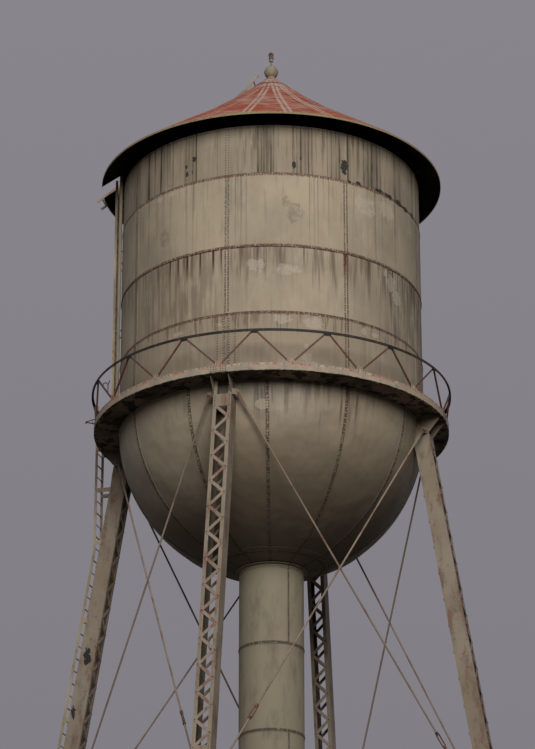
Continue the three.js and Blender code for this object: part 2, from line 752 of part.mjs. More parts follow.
function shellLadder() {
  const floor = BALCONY_BOTTOM_Z + 2 * PLATE + GAP;
  const path = [
    [SHELL_LADDER_RADIUS, floor],
    [SHELL_LADDER_RADIUS, EAVE_Z + SHELL_LADDER_RISE],
  ];
  const standoffs = SHELL_LADDER_STANDOFF_Z.map((z) => [
    [TANK_RADIUS - STANDOFF_DEPTH, z],
    [SHELL_LADDER_RADIUS, z],
  ]);
  return ladder(SLOT_AZIMUTH, path, standoffs).subtract(shellSpace());
}

function roofLadder() {
  const over = (r) => [r, roofHeight(r) + ROOF_LADDER_LIFT];
  const [eaveReach, eaveRise] = ROOF_LADDER_EAVE;
  const path = [
    [EAVE_RADIUS + eaveReach, roofHeight(EAVE_RADIUS) + eaveRise],
    ...ROOF_LADDER_RADII.map(over),
    ...ROOF_LADDER_TOP,
  ];
  const standoffs = ROOF_LADDER_STANDOFF_RADII.map((r) => [[r, roofHeight(r) - STANDOFF_DEPTH], over(r)]);
  const [[outerRadius, outerZ], ...slope] = ROOF_PROFILE.map(([r, z]) => [r, z + GAP]);
  const eave = [[0, EAVE_Z], [outerRadius, EAVE_Z], [outerRadius, outerZ]];
  const roofSpace = turned([...eave, ...slope, [0, slope.at(-1)[1]]]);
  return ladder(ROOF_LADDER_AZIMUTH, path, standoffs).subtract(roofSpace);
}

function legLadder() {
  const face = (z) => legRadius(z) + LEG_DEPTH / 2;
  const standing = (z) => face(z) + LEG_LADDER_STANDOFF;
  const bendZ = SPRING_HEIGHT + (standing(SPRING_HEIGHT) - LEG_LADDER_RADIUS) / LEG_BATTER;
  const path = [
    [LEG_LADDER_RADIUS, SPRING_HEIGHT + LEG_LADDER_TOP_Z],
    [LEG_LADDER_RADIUS, bendZ],
    [standing(LEG_LADDER_FOOT), LEG_LADDER_FOOT],
  ];
  const standoffs = LEG_LADDER_STANDOFF_Z.map((z) => [
    [face(z) - STANDOFF_DEPTH, z],
    [Math.max(standing(z), LEG_LADDER_RADIUS), z],
  ]);
  const floor = SPRING_HEIGHT + BALCONY_BOTTOM_Z;
  const fasciaZ = floor + FASCIA_DEPTH / 2;
  standoffs.push([[BALCONY_RADIUS - STANDOFF_DEPTH, fasciaZ], [LEG_LADDER_RADIUS, fasciaZ]]);
  const fasciaSpace = ring(TANK_RADIUS, BALCONY_RADIUS + GAP, floor, floor + FASCIA_DEPTH);
  const legSpace = new THREE.BoxGeometry(LEG_DEPTH + 2 * GAP, LEG_WIDTH, SPRING_HEIGHT)
    .translate(0, 0, SPRING_HEIGHT / 2)
    .applyMatrix4(legShear)
    .rotateZ(radians(LEG_AZIMUTHS.north));
  const whole = ladder(LEG_AZIMUTHS.north, path, standoffs, 2 * RUNG_PITCH, LEG_STANDOFF);
  return whole.subtract(toSolid(legSpace)).subtract(fasciaSpace);
}

function overflowPipe() {
  const floor = BALCONY_BOTTOM_Z + 2 * PLATE + GAP;
  const top = EAVE_Z + PIPE_TOP_RISE;
  const pipe = new THREE.CylinderGeometry(PIPE_RADIUS, PIPE_RADIUS, top - floor, PIPE_SIDES)
    .rotateX(Math.PI / 2)
    .translate(PIPE_CENTRE_RADIUS, 0, (top + floor) / 2);
  const inner = TANK_RADIUS - STANDOFF_DEPTH;
  const reach = PIPE_CENTRE_RADIUS - inner;
  const clips = PIPE_CLIP_Z.map((z) => box(reach, ...PIPE_CLIP, inner + reach / 2, 0, z));
  return join([toSolid(pipe), ...clips]).subtract(shellSpace().rotate([0, 0, -PIPE_AZIMUTH]));
}

// Assembly
COURSE_SEAM_Z.slice(1).forEach((_, index) => {
  addPiece(tank, "shell_course_" + (index + 1), shellCourse(index), tankPaint);
});
addPiece(tank, "bowl", bowl(), tankPaint);
addPiece(tank, "bowl_dish", bowlDish(), tankPaint);
addPiece(tank, "roof", roof(), roofPaint);
addPiece(tank, "roof_cap", roofCap(), roofPaint);
addPiece(tank, "roof_frame", roofFrame(), darkSteel);
addPiece(tank, "finial", finial(), tankPaint);
addPiece(tank, "top_lamp", topLamp(), lampGlass);
addPiece(tank, "balcony_floor", balconyFloor(), darkSteel);
addPiece(tank, "balcony_girder", balconyGirder(), tankPaint);
addPiece(tank, "handrail", handrail(), darkSteel);
addPiece(tank, "shell_ladder", shellLadder(), tankPaint);
addPiece(tank, "roof_ladder", roofLadder(), tankPaint);
addPiece(tank, "overflow_pipe", overflowPipe(), tankPaint, PIPE_AZIMUTH);
addPiece(part, "riser_upper", riserUpper(), tankPaint);
addPiece(part, "riser_lower", riserLower(), tankPaint);
addPiece(part, "leg_ladder", legLadder(), tankPaint);

const oneLeg = leg();
for (const [name, azimuth] of Object.entries(LEG_AZIMUTHS)) {
  addPiece(part, "leg_" + name, oneLeg, legPaint, azimuth);
}

const FACES = { front: 270, right: 0, back: 90, left: 180 };
for (const [name, azimuth] of Object.entries(FACES)) {
  PANEL_Z.slice(1, 3).forEach((z, index) => {
    const solid = strut(azimuth, SPRING_HEIGHT + z);
    addPiece(part, "strut_" + name + "_" + (index + 1), solid, legPaint);
  });
  for (let panel = 0; panel + 1 < PANEL_Z.length; panel++) {
    for (const [letter, direction] of [["a", 1], ["b", -1]]) {
      const solid = tieRod(azimuth, panel, direction);
      addPiece(part, "rod_" + name + "_" + (panel + 1) + letter, solid, rustySteel);
    }
  }
}

export default part;
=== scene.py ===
"""Riveted steel water tank on a laced four-legged tower: its plates, bracing, fittings and paint.

Everything is in metres in the tower's own frame: the tank's axis is Z and the ground is at zero.
"""

import math

import bmesh
import bpy
import numpy as np
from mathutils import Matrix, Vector


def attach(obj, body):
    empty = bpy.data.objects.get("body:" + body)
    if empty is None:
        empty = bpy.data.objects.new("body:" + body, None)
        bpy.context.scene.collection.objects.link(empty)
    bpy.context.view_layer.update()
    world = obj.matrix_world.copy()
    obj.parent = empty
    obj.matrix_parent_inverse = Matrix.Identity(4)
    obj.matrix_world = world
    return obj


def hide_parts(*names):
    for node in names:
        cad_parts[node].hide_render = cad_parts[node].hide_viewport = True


bl_info = {
    "name": "Riveted water tower",
    "version": (1, 0, 0),
    "blender": (4, 5, 0),
    "location": "View3D > Sidebar > Water Tower",
    "description": "Plates, bracing, fittings and weathered paint of a riveted water tower",
    "category": "Add Mesh",
}

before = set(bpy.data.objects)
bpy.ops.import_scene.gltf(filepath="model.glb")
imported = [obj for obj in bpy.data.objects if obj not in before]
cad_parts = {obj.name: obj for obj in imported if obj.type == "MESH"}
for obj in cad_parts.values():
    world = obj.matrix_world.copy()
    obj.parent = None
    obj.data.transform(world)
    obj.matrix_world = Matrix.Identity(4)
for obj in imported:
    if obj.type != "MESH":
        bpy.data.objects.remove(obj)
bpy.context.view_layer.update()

# Tank
SPRING = 27.1
TANK_RADIUS = 3.658
PLATE = 0.008
GAP = 0.0003
SEAMS = (6.383, 5.086, 3.245, 1.524, 0.0)
LAP = 0.07
STRAP_THICK = 0.006
ROW_SHARES = (-0.3, 0.3)
HOLE_GAP = 0.003
ROUND = 192
PIPE_ROUND = 96
AXIS = 0.0005
EDGE_ROUGHNESS = 2.4
DISH_RADIUS = 1.23
GORE_TURN = 30
LEG_STRAP_WIDTH = 0.54
LEG_STRAP_THICK = 0.01
SHELL_SEAM_TURNS = ((45, 135, 225, 315), (0, 90, 180, 270), (0, 90, 180, 225, 270), (0, 90, 180, 270))

# Streaks down the shell's courses: the turn of each, half of its width in degrees, and its darkness
EAVE_STREAKS = (
    (178.7, 0.6, 0.5), (181.6, 0.25, 0.4), (187.9, 0.65, 0.8), (191.7, 0.5, 0.45), (195.3, 0.55, 0.6),
    (201.6, 0.3, 0.3), (207.6, 0.45, 0.4), (209.2, 0.3, 0.45), (210.9, 0.4, 0.35), (212.3, 0.3, 0.7),
    (221.1, 0.25, 0.3), (236.6, 0.4, 0.5), (237.9, 0.2, 0.45), (238.8, 0.2, 0.5), (239.9, 0.25, 0.4),
    (241.4, 0.3, 0.5), (242.3, 0.2, 0.4), (249.7, 0.5, 0.5), (251.0, 0.25, 0.35), (252.5, 0.35, 0.5),
    (254.1, 0.25, 0.35), (255.4, 0.25, 0.7), (256.7, 0.3, 0.35), (262.8, 0.2, 0.3), (264.4, 0.3, 0.4),
    (266.3, 0.3, 0.45), (267.7, 0.4, 0.55), (271.4, 0.5, 0.6), (278.6, 0.45, 0.45), (280.6, 0.35, 0.45),
    (282.5, 0.7, 0.5), (285.2, 0.35, 0.55), (286.9, 0.35, 0.35), (295.9, 0.8, 0.4), (299.6, 0.4, 0.35),
    (311.2, 0.5, 0.4), (187.8, 2.4, 0.22), (194.4, 2.0, 0.16), (210.0, 2.6, 0.18), (239.3, 3.3, 0.30),
    (254.0, 3.2, 0.20), (266.5, 2.8, 0.18), (282.4, 4.2, 0.26), (297.5, 3.4, 0.22), (179.0, 2.4, 0.20),
)
SECOND_STREAKS = (
    (188.5, 0.5, 0.3), (208.3, 0.35, 0.25), (211.2, 0.3, 0.35), (225.0, 0.7, 0.3), (228.2, 0.25, 0.35),
    (230.3, 0.22, 0.4), (232.2, 0.22, 0.3), (255.6, 0.18, 0.45), (257.4, 0.3, 0.25), (258.9, 0.22, 0.3),
    (263.2, 0.18, 0.3), (283.8, 0.5, 0.45), (295.4, 0.55, 0.35),
)
THIRD_STREAKS = (
    (180.2, 0.5, 0.5), (185.0, 0.3, 0.4), (194.5, 0.5, 0.35), (200.8, 0.35, 0.7), (204.7, 0.4, 0.75),
    (207.4, 0.7, 0.5), (208.9, 0.5, 0.9), (211.0, 0.5, 0.4), (214.4, 0.3, 0.9), (219.7, 0.4, 0.95),
    (222.8, 0.4, 0.6), (230.8, 0.8, 0.3), (236.3, 0.6, 0.45), (238.8, 0.3, 0.3), (244.6, 0.4, 0.3),
    (253.5, 0.2, 0.7), (264.5, 0.6, 0.35), (269.6, 0.5, 0.9), (280.3, 0.7, 0.5), (288.5, 0.8, 0.4),
    (293.4, 0.3, 0.6), (300.1, 1.0, 0.4), (308.3, 1.2, 0.45),
)
# Places on the shell where paint is lost down to black plate: turn, height over the springline,
# half of the width in degrees and half of the height
BARE_PLACES = (
    (207.9, 5.57, 0.7, 0.07), (208.3, 5.38, 0.8, 0.10), (211.3, 5.72, 0.9, 0.09), (210.6, 5.39, 0.3, 0.08),
    (199.7, 5.23, 0.3, 0.03), (249.9, 5.33, 1.0, 0.10), (252.5, 5.53, 0.4, 0.05), (269.6, 5.48, 1.6, 0.24),
    (272.1, 5.13, 0.9, 0.05), (276.1, 5.15, 1.7, 0.07), (286.4, 5.16, 3.2, 0.07), (291.6, 5.14, 3.2, 0.07),
    (298.8, 5.12, 3.4, 0.09), (303.6, 5.10, 2.6, 0.08), (310.2, 5.11, 1.8, 0.10),
)
# Grey smudges
SMUDGES = ((250.0, 4.05, 5.0, 0.34), (246.5, 4.35, 2.2, 0.22), (198.0, 3.9, 3.0, 0.30))
# Places where only the top coat has flaked
PALE_PLACES = (
    (279.0, 4.60, 5.6, 0.30), (290.2, 4.72, 5.2, 0.28), (292.3, 2.86, 3.4, 0.24), (295.8, 2.56, 3.2, 0.22),
    (288.7, 3.08, 1.6, 0.12), (235.5, 2.73, 4.0, 0.20), (247.5, 2.62, 5.5, 0.16), (195.0, 4.96, 1.8, 0.06),
    (201.3, 4.98, 1.8, 0.06), (245.5, 1.36, 3.6, 0.14), (256.8, 1.30, 4.4, 0.18), (277.5, 1.34, 1.6, 0.10),
    (283.0, 1.34, 2.2, 0.07), (222.0, 1.30, 1.4, 0.07), (254.5, 0.40, 2.4, 0.16), (255.5, 0.26, 4.2, 0.12),
    (254.2, 0.72, 0.9, 0.07), (205.0, 1.28, 3.0, 0.07),
)

# Places on the left leg where paint is lost, and a pale one on the bowl: centre, half width, half height
LEG_BARE_PLACES = (((-3.34, 3.02, 21.80), 0.10, 0.27), ((-3.57, 3.22, 20.45), 0.07, 0.24))
BOWL_PALE_PLACES = (((-1.90, -3.04, 26.38), 0.19, 0.15),)

# Turns at which stains, rust or chalk are strongest, and where painted light on the bowl is strongest
STAIN_TURNS = (203, 308)
RUSTY_SEAM_TURN = 270
BOWL_PAINTED_LIGHT_TURN = 178
BOWL_RUST_TURN = 255
ROOF_PALE_TURN = 246

# Roof
EAVE_RADIUS = 4.207
EAVE_Z = 6.409
ROOF_PROFILE = ((4.207, 6.459), (2.012, 7.991), (1.097, 8.707), (0.439, 9.286))
ROOF_SHEET = 0.008
ROOF_PANELS = 28
ROOF_PAIRS = 26
ROOF_PAIR_TURN = 11.66
SLOT_TURN = 150
SLOT_HALF_TURN = 4.25
SLOT_INNER_RADIUS = 3.74
CAP_RADIUS = 0.52
CAP_TOP_RADIUS = 0.17
CAP_TOP_Z = 9.545
BALL_RADIUS = 0.175
BALL_Z = 9.775
LAMP_Z = 10.075
BALL_NECK = 0.095

# Balcony
BALCONY_RADIUS = 4.26
BALCONY_BOTTOM_Z = -0.155
FASCIA_DEPTH = 0.18
FASCIA_FLANGE = 0.06
RAIL_RADIUS = 4.332
RAIL_TOP_Z = 0.838
RAIL_BAYS = 16
BALCONY_PLATES = 16
RAIL_WIDTH = 0.052
RAIL_DEPTH = 0.066
BRACKET_TURN = 163.0
BRACKET_REACH = 0.225
BRACKET_THICK = 0.01
HOOK_TURN = 157.5
HOOK_RADIUS = 3.95
HOOK_Z = 0.84
HOOK_THICK = 0.014
STILE_TURN = 153.3
STILE_RADIUS = 3.83

# Rivets and nuts: the shoulder's height and reach, the crown's height, in radii of the head
RIVET_SINK = 0.002
RIVET_SHOULDER = (0.42, 0.72)
RIVET_CROWN = 0.62
HEXAGON_SIDES = [(k, (k + 1) % 6, 6 + (k + 1) % 6, 6 + k) for k in range(6)]

# Riser pipe
RISER_RADIUS = 0.762
RISER_SEAM_Z = -5.5
RISER_COURSE = 2.08
RISER_SEAM_TURN = 272.5
RISER_PLATE = 0.01
RISER_TOP_DROP = 3.56
COLLAR_RADIUS = 0.85
FOOT_RADIUS = 0.96
FOOT_THICK = 0.03
FOOT_BOLTS = 16

# Legs and bracing
LEG_RADIUS = 3.64
LEG_BATTER = 0.1595
LEG_WIDTH = 0.431
LEG_DEPTH = 0.387
LEG_TURNS = {"east": 45, "north": 135, "west": 225, "south": 315}
FACES = {"front": 270, "right": 0, "back": 90, "left": 180}
PANEL_Z = (-0.05, -10.15, -18.6, -26.65)
PIN_LUG = (0.095, 0.33, 0.492)
PIN_OFFSET = 0.39
LOWER_PIN_SHIFT = 0.014
GUSSET_THICK = 0.012
ROD_BESIDE = 0.0273
EYE_RADIUS = 0.042
EYE_REACH = 0.74
BUCKLE_PLACE = 0.83
BUCKLE_LENGTH = 0.42
BUCKLE_SPREAD = 0.036
STRUT_START = 0.306
BATTEN_LEVELS = (26.397, 17.81, 16.39, 9.06, 7.94, 0.7)
BATTEN_HEIGHT = 0.31
BATTEN_THICK = 0.01
BASE_THICK = 0.04
BOLT_REACH = 0.28
PIN_RADIUS = 0.024
NUT_RADIUS = 0.038
NUT_HEIGHT = 0.020

# Leg ladder
LADDER_RADIUS = 4.37
LADDER_TOP_Z = 1.08
LADDER_STANDOFF = 0.115
LADDER_FOOT = 0.35
LADDER_WIDTH = 0.43
RUNG = 0.022
RUNG_PITCH = 0.305

# Camera, as the photograph was taken
CAMERA_TURN = 241.47
CAMERA_DISTANCE = 64.9
CAMERA_Z = 1.61
CAMERA_PITCH = 22.576
CAMERA_LEFT = 0.0826
CAMERA_LENS = 139.39
CAMERA_CLIP = 500.0
SENSOR_WIDTH = 36.0

# Stage
FLOOR_RADIUS = 9.0
KEY_TURN = 5
KEY_HEIGHT = 47.0
KEY_DISTANCE = 55.0
KEY_SIZE = 36.0
KEY_POWER = 24000.0
KEY_WARMTH = (1.0, 0.97, 0.93)
SKY_COLOURS = ((0.0, (48, 46, 44)), (0.04, (122, 121, 126)), (0.5, (136, 133, 140)), (1.0, (150, 148, 155)))


def tint(red, green, blue):
    """A colour given as it looks on a screen, 0 to 255, in the linear values that Blender keeps."""
    linear = []
    for level in (red, green, blue):
        share = level / 255
        linear.append(share / 12.92 if share <= 0.04045 else ((share + 0.055) / 1.055) ** 2.4)
    return (*linear, 1.0)


def lift(height):
    return Vector((0, 0, height))


def named_colour(name):
    return tuple(getattr(bpy.context.scene.tower_colours, name))


def around(radius, turn, z, sideways=0.0):
    """The point at a distance from the axis and a turn in degrees, moved sideways round the axis."""
    a = math.radians(turn)
    return Vector((
        radius * math.cos(a) - sideways * math.sin(a),
        radius * math.sin(a) + sideways * math.cos(a),
        z,
    ))


def leg_radius(z):
    return LEG_RADIUS - LEG_BATTER * (z - SPRING)


def leg_point(turn, z, outwards, sideways):
    """A point beside a leg's axis."""
    return around(leg_radius(z) + outwards, turn, z, sideways)


def roof_height(radius):
    radii = [r for r, _ in reversed(ROOF_PROFILE)]
    heights = [z for _, z in reversed(ROOF_PROFILE)]
    if radius > radii[-1]:
        slope = (heights[-1] - heights[-2]) / (radii[-1] - radii[-2])
        return heights[-1] + slope * (radius - radii[-1])
    return float(np.interp(radius, radii, heights))


def steps(low, high, count):
    return [float(value) for value in np.linspace(low, high, count)]


def compass(axis):
    """Six directions at right angles to an axis."""
    side = axis.orthogonal().normalized()
    other = axis.cross(side)
    return [side * math.cos(k * math.pi / 3) + other * math.sin(k * math.pi / 3) for k in range(6)]


class Shape:
    """Points and faces collected for one piece."""

    def __init__(self):
        self.points = []
        self.faces = []

    def add(self, points, faces):
        base = len(self.points)
        self.points.extend(tuple(point) for point in points)
        self.faces.extend(tuple(base + index for index in face) for face in faces)

    def lathe(self, profile, segments=ROUND, start=0.0, sweep=360.0):
        """A closed profile of (radius, z) turned round the axis, with flat ends if it isn't a full turn."""
        full = sweep >= 360
        turns = segments if full else segments + 1
        size = len(profile)
        points = [
            around(r, start + sweep * i / segments, z) for i in range(turns) for r, z in profile
        ]
        faces = []
        for i in range(segments):
            here, there = i * size, ((i + 1) % turns) * size
            for k in range(size):
                after = (k + 1) % size
                faces.append((here + k, there + k, there + after, here + after))
        if not full:
            faces.append(tuple(range(size)))
            faces.append(tuple(reversed(range(segments * size, (segments + 1) * size))))
        self.add(points, faces)

    def ring(self, inner, outer, low, high, segments=ROUND):
        """A ring of rectangular section."""
        self.lathe(((inner, low), (outer, low), (outer, high), (inner, high)), segments)

    def slab(self, place, across, along, low, high):
        """A thin curved plate: place(a, b, h) is the point at stations a and b, h above the surface."""
        columns, rows = len(across), len(along)
        points = [place(a, b, h) for h in (high, low) for b in along for a in across]
        under = columns * rows
        faces = []
        for j in range(rows - 1):
            for i in range(columns - 1):
                k = j * columns + i
                faces.append((k, k + 1, k + columns + 1, k + columns))
                faces.append((under + k, under + k + columns, under + k + columns + 1, under + k + 1))
        rim = list(range(columns))
        rim += [j * columns + columns - 1 for j in range(1, rows)]
        rim += [(rows - 1) * columns + i for i in range(columns - 2, -1, -1)]
        rim += [j * columns for j in range(rows - 2, 0, -1)]
        for here, there in zip(rim, rim[1:] + rim[:1]):
            faces.append((here, under + here, under + there, there))
        self.add(points, faces)

    def bar(self, start, end, width, depth, normal):
        """A flat bar, its depth along the normal."""
        along = (end - start).normalized()
        across = normal.cross(along).normalized() * (width / 2)
        up = along.cross(across).normalized() * (depth / 2)
        corners = (-across - up, across - up, across + up, -across + up)
        points = [place + corner for place in (start, end) for corner in corners]
        sides = [(k, (k + 1) % 4, 4 + (k + 1) % 4, 4 + k) for k in range(4)]
        self.add(points, [(0, 3, 2, 1), (4, 5, 6, 7), *sides])

    def tube(self, path, radius, sides=8):
        """A round bar along a path, closed at both ends."""
        rings = []
        normal = None
        for i, place in enumerate(path):
            before = path[max(i - 1, 0)]
            after = path[min(i + 1, len(path) - 1)]
            along = (after - before).normalized()
            if normal is None:
                normal = along.orthogonal().normalized()
            normal = (normal - along * normal.dot(along)).normalized()
            other = along.cross(normal)
            rings.append([
                place + normal * (radius * math.cos(a)) + other * (radius * math.sin(a))
                for a in (math.tau * k / sides for k in range(sides))
            ])
        faces = [tuple(reversed(range(sides)))]
        for i in range(len(path) - 1):
            for k in range(sides):
                after = (k + 1) % sides
                here, there = i * sides, (i + 1) * sides
                faces.append((here + k, here + after, there + after, there + k))
        last = (len(path) - 1) * sides
        faces.append(tuple(range(last, last + sides)))
        self.add([point for ring in rings for point in ring], faces)

    def rivet(self, point, normal, share=1.0):
        """A round head with a shoulder and a crown, of the usual size or a share of it."""
        ways = compass(normal)
        radius = tower_sizes().rivet * share
        points = [point - normal * RIVET_SINK + way * radius for way in ways]
        rise, reach = RIVET_SHOULDER
        points += [point + normal * (radius * rise) + way * (radius * reach) for way in ways]
        points.append(point + normal * (radius * RIVET_CROWN))
        self.add(points, HEXAGON_SIDES + [(6 + k, 6 + (k + 1) % 6, 12) for k in range(6)])

    def rivets(self, places, share=1.0):
        for point, normal in places:
            self.rivet(point, normal, share)

    def nut(self, centre, axis, radius, height):
        """A bolt's head or nut."""
        points = [centre + way * radius + axis * rise for rise in (0.0, height) for way in compass(axis)]
        self.add(points, HEXAGON_SIDES + [tuple(range(6, 12)), tuple(reversed(range(6)))])

    def piece(self, name, paint, replaces=(), weld=False, sharp=30):
        """The finished object, riding on the tower."""
        mesh = bpy.data.meshes.new(name)
        mesh.from_pydata(self.points, [], self.faces)
        work = bmesh.new()
        work.from_mesh(mesh)
        if weld:
            bmesh.ops.remove_doubles(work, verts=work.verts, dist=1e-5)
        bmesh.ops.recalc_face_normals(work, faces=work.faces)
        work.to_mesh(mesh)
        work.free()
        mesh.polygons.foreach_set("use_smooth", [True] * len(mesh.polygons))
        mesh.set_sharp_from_angle(angle=math.radians(sharp))
        mesh.materials.append(tower_finish(paint))
        made = bpy.data.objects.new(name, mesh)
        bpy.context.scene.collection.objects.link(made)
        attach(made, "root")
        if replaces:
            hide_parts(*replaces)


class Value:
    """A socket of a node tree, with arithmetic that adds Math nodes."""

    def __init__(self, nodes, socket):
        self.nodes = nodes
        self.socket = socket

    def maths(self, operation, *inputs):
        return self.nodes.node("ShaderNodeMath", {"operation": operation}, inputs)

    def __add__(self, other):
        return self.maths("ADD", self, other)

    def __sub__(self, other):
        return self.maths("SUBTRACT", self, other)

    def __rsub__(self, other):
        return self.maths("SUBTRACT", other, self)

    def __mul__(self, other):
        return self.maths("MULTIPLY", self, other)

    def __truediv__(self, other):
        return self.maths("DIVIDE", self, other)

    def __rtruediv__(self, other):
        return self.maths("DIVIDE", other, self)

    def __pow__(self, other):
        return self.maths("POWER", self, other)

    def __mod__(self, other):
        return self.maths("MODULO", self, other)

    def __abs__(self):
        return self.maths("ABSOLUTE", self)

    __radd__ = __add__
    __rmul__ = __mul__


class Nodes:
    """A node tree that is built from nothing."""

    def __init__(self, owner):
        owner.use_nodes = True
        self.tree = owner.node_tree
        self.tree.nodes.clear()

    def node(self, kind, settings, inputs=(), output=0):
        """Adds a node, its settings first, then values or links by socket number or name.

        A ramp's stops are one of its settings. An output node has no value to return.
        """
        made = self.tree.nodes.new(kind)
        for name, value in settings.items():
            if name == "stops":
                elements = made.color_ramp.elements
                while len(elements) < len(value):
                    elements.new(0.5)
                for element, (position, colour) in zip(elements, value):
                    element.position = position
                    element.color = colour
            else:
                setattr(made, name, value)
        for key, value in inputs.items() if isinstance(inputs, dict) else enumerate(inputs):
            if isinstance(value, Value):
                self.tree.links.new(value.socket, made.inputs[key])
            else:
                made.inputs[key].default_value = value
        return Value(self, made.outputs[output]) if made.outputs else None


class Finish(Nodes):
    """A material in the making: its nodes, and the patterns that more than one paint uses."""

    def __init__(self, name):
        self.material = bpy.data.materials.new(name)
        super().__init__(self.material)
        self.colour = None
        self.place = self.node("ShaderNodeTexCoord", {}, (), "Object")
        self.x, self.y, self.z = (
            self.node("ShaderNodeSeparateXYZ", {}, (self.place,), axis) for axis in "XYZ"
        )

    def vector(self, x, y, z):
        return self.node("ShaderNodeCombineXYZ", {}, (x, y, z))

    def noise(self, scale, detail, roughness=0.55, at=None):
        """Noise from 0 to 1, in the object's own space or in the coordinates given."""
        values = {"Vector": at or self.place, "Scale": scale, "Detail": detail, "Roughness": roughness}
        return self.node("ShaderNodeTexNoise", {}, values)

    def between(self, value, low, high):
        """0 below low, 1 above high, and a smooth rise between; falls if low is the larger."""
        settings = {"interpolation_type": "SMOOTHSTEP"}
        return self.node("ShaderNodeMapRange", settings, (value, low, high, 0.0, 1.0))

    def near(self, value, middle, far, core):
        """1 where a value is within core of the middle, falling to 0 at a distance of far."""
        return self.between(abs(value - middle), far, core)

    def blend(self, share, first, second):
        return self.node("ShaderNodeMix", {"data_type": "RGBA"}, {0: share, 6: first, 7: second}, 2)

    def base(self, first, second, share):
        """Starts the colour as a mix of two named ones."""
        self.colour = self.blend(share, named_colour(first), named_colour(second))

    def coat(self, name, share):
        """Lays a named colour over the colour so far, by a share that may vary over the surface."""
        self.colour = self.blend(share, self.colour, named_colour(name))

    def highest(self, *values):
        result = values[0]
        for value in values[1:]:
            result = result.maths("MAXIMUM", result, value)
        return result

    def radius(self):
        return (self.x * self.x + self.y * self.y) ** 0.5

    def unrolled(self, drop=0.04):
        """Coordinates that run round the tank in metres and are stretched along its height."""
        reach = self.radius() + 0.001
        return self.vector(self.x / reach * TANK_RADIUS, self.y / reach * TANK_RADIUS, self.z * drop)

    def turn(self):
        """The turn round the axis in degrees, from 0 to 360."""
        return (self.y.maths("ARCTAN2", self.y, self.x) * (180 / math.pi) + 360) % 360

    def strips(self, turns, places):
        """The darkest of several upright strips, each a (turn, half width, darkness)."""
        return self.highest(*(
            self.near(turns, turn, half * 1.5, half * 0.35) * share for turn, half, share in places
        ))

    def spots(self, turns, high, places, edge):
        """1 inside any of several ovals on the wall, with an edge roughened by a noise from 0 to 1."""
        inside = []
        for turn, z, half_turn, half_height in places:
            across = (turns - turn) / half_turn
            up = (high - z) / half_height
            inside.append(1.0 - (across * across + up * up))
        return self.between(self.highest(*inside) + (edge - 0.5) * EDGE_ROUGHNESS, 0.30, 0.42)

    def blots(self, places, edge):
        """1 near any of several points, within a half width and half height, with a roughened edge."""
        inside = []
        for (x, y, z), half_width, half_height in places:
            across = ((self.x - x) ** 2 + (self.y - y) ** 2) / half_width ** 2
            up = (self.z - z) / half_height
            inside.append(1.0 - (across + up * up))
        return self.between(self.highest(*inside) + (edge - 0.5) * EDGE_ROUGHNESS, 0.20, 0.32)

    def facing(self, low, high):
        """A mask from how far a face looks up, from -1 to 1."""
        normal = self.node("ShaderNodeNewGeometry", {}, (), 1)
        return self.between(self.node("ShaderNodeSeparateXYZ", {}, (normal,), 2), low, high)

    def finished(self, roughness, bump, depth=0.004):
        """Wires the colour, roughness and a bump height to the shader and returns the material."""
        raised = self.node("ShaderNodeBump", {}, {"Strength": 0.6, "Distance": depth, "Height": bump})
        shader = self.node(
            "ShaderNodeBsdfPrincipled",
            {},
            {"Base Color": self.colour, "Roughness": roughness, "Normal": raised},
        )
        self.node("ShaderNodeOutputMaterial", {}, {"Surface": shader})
        return self.material


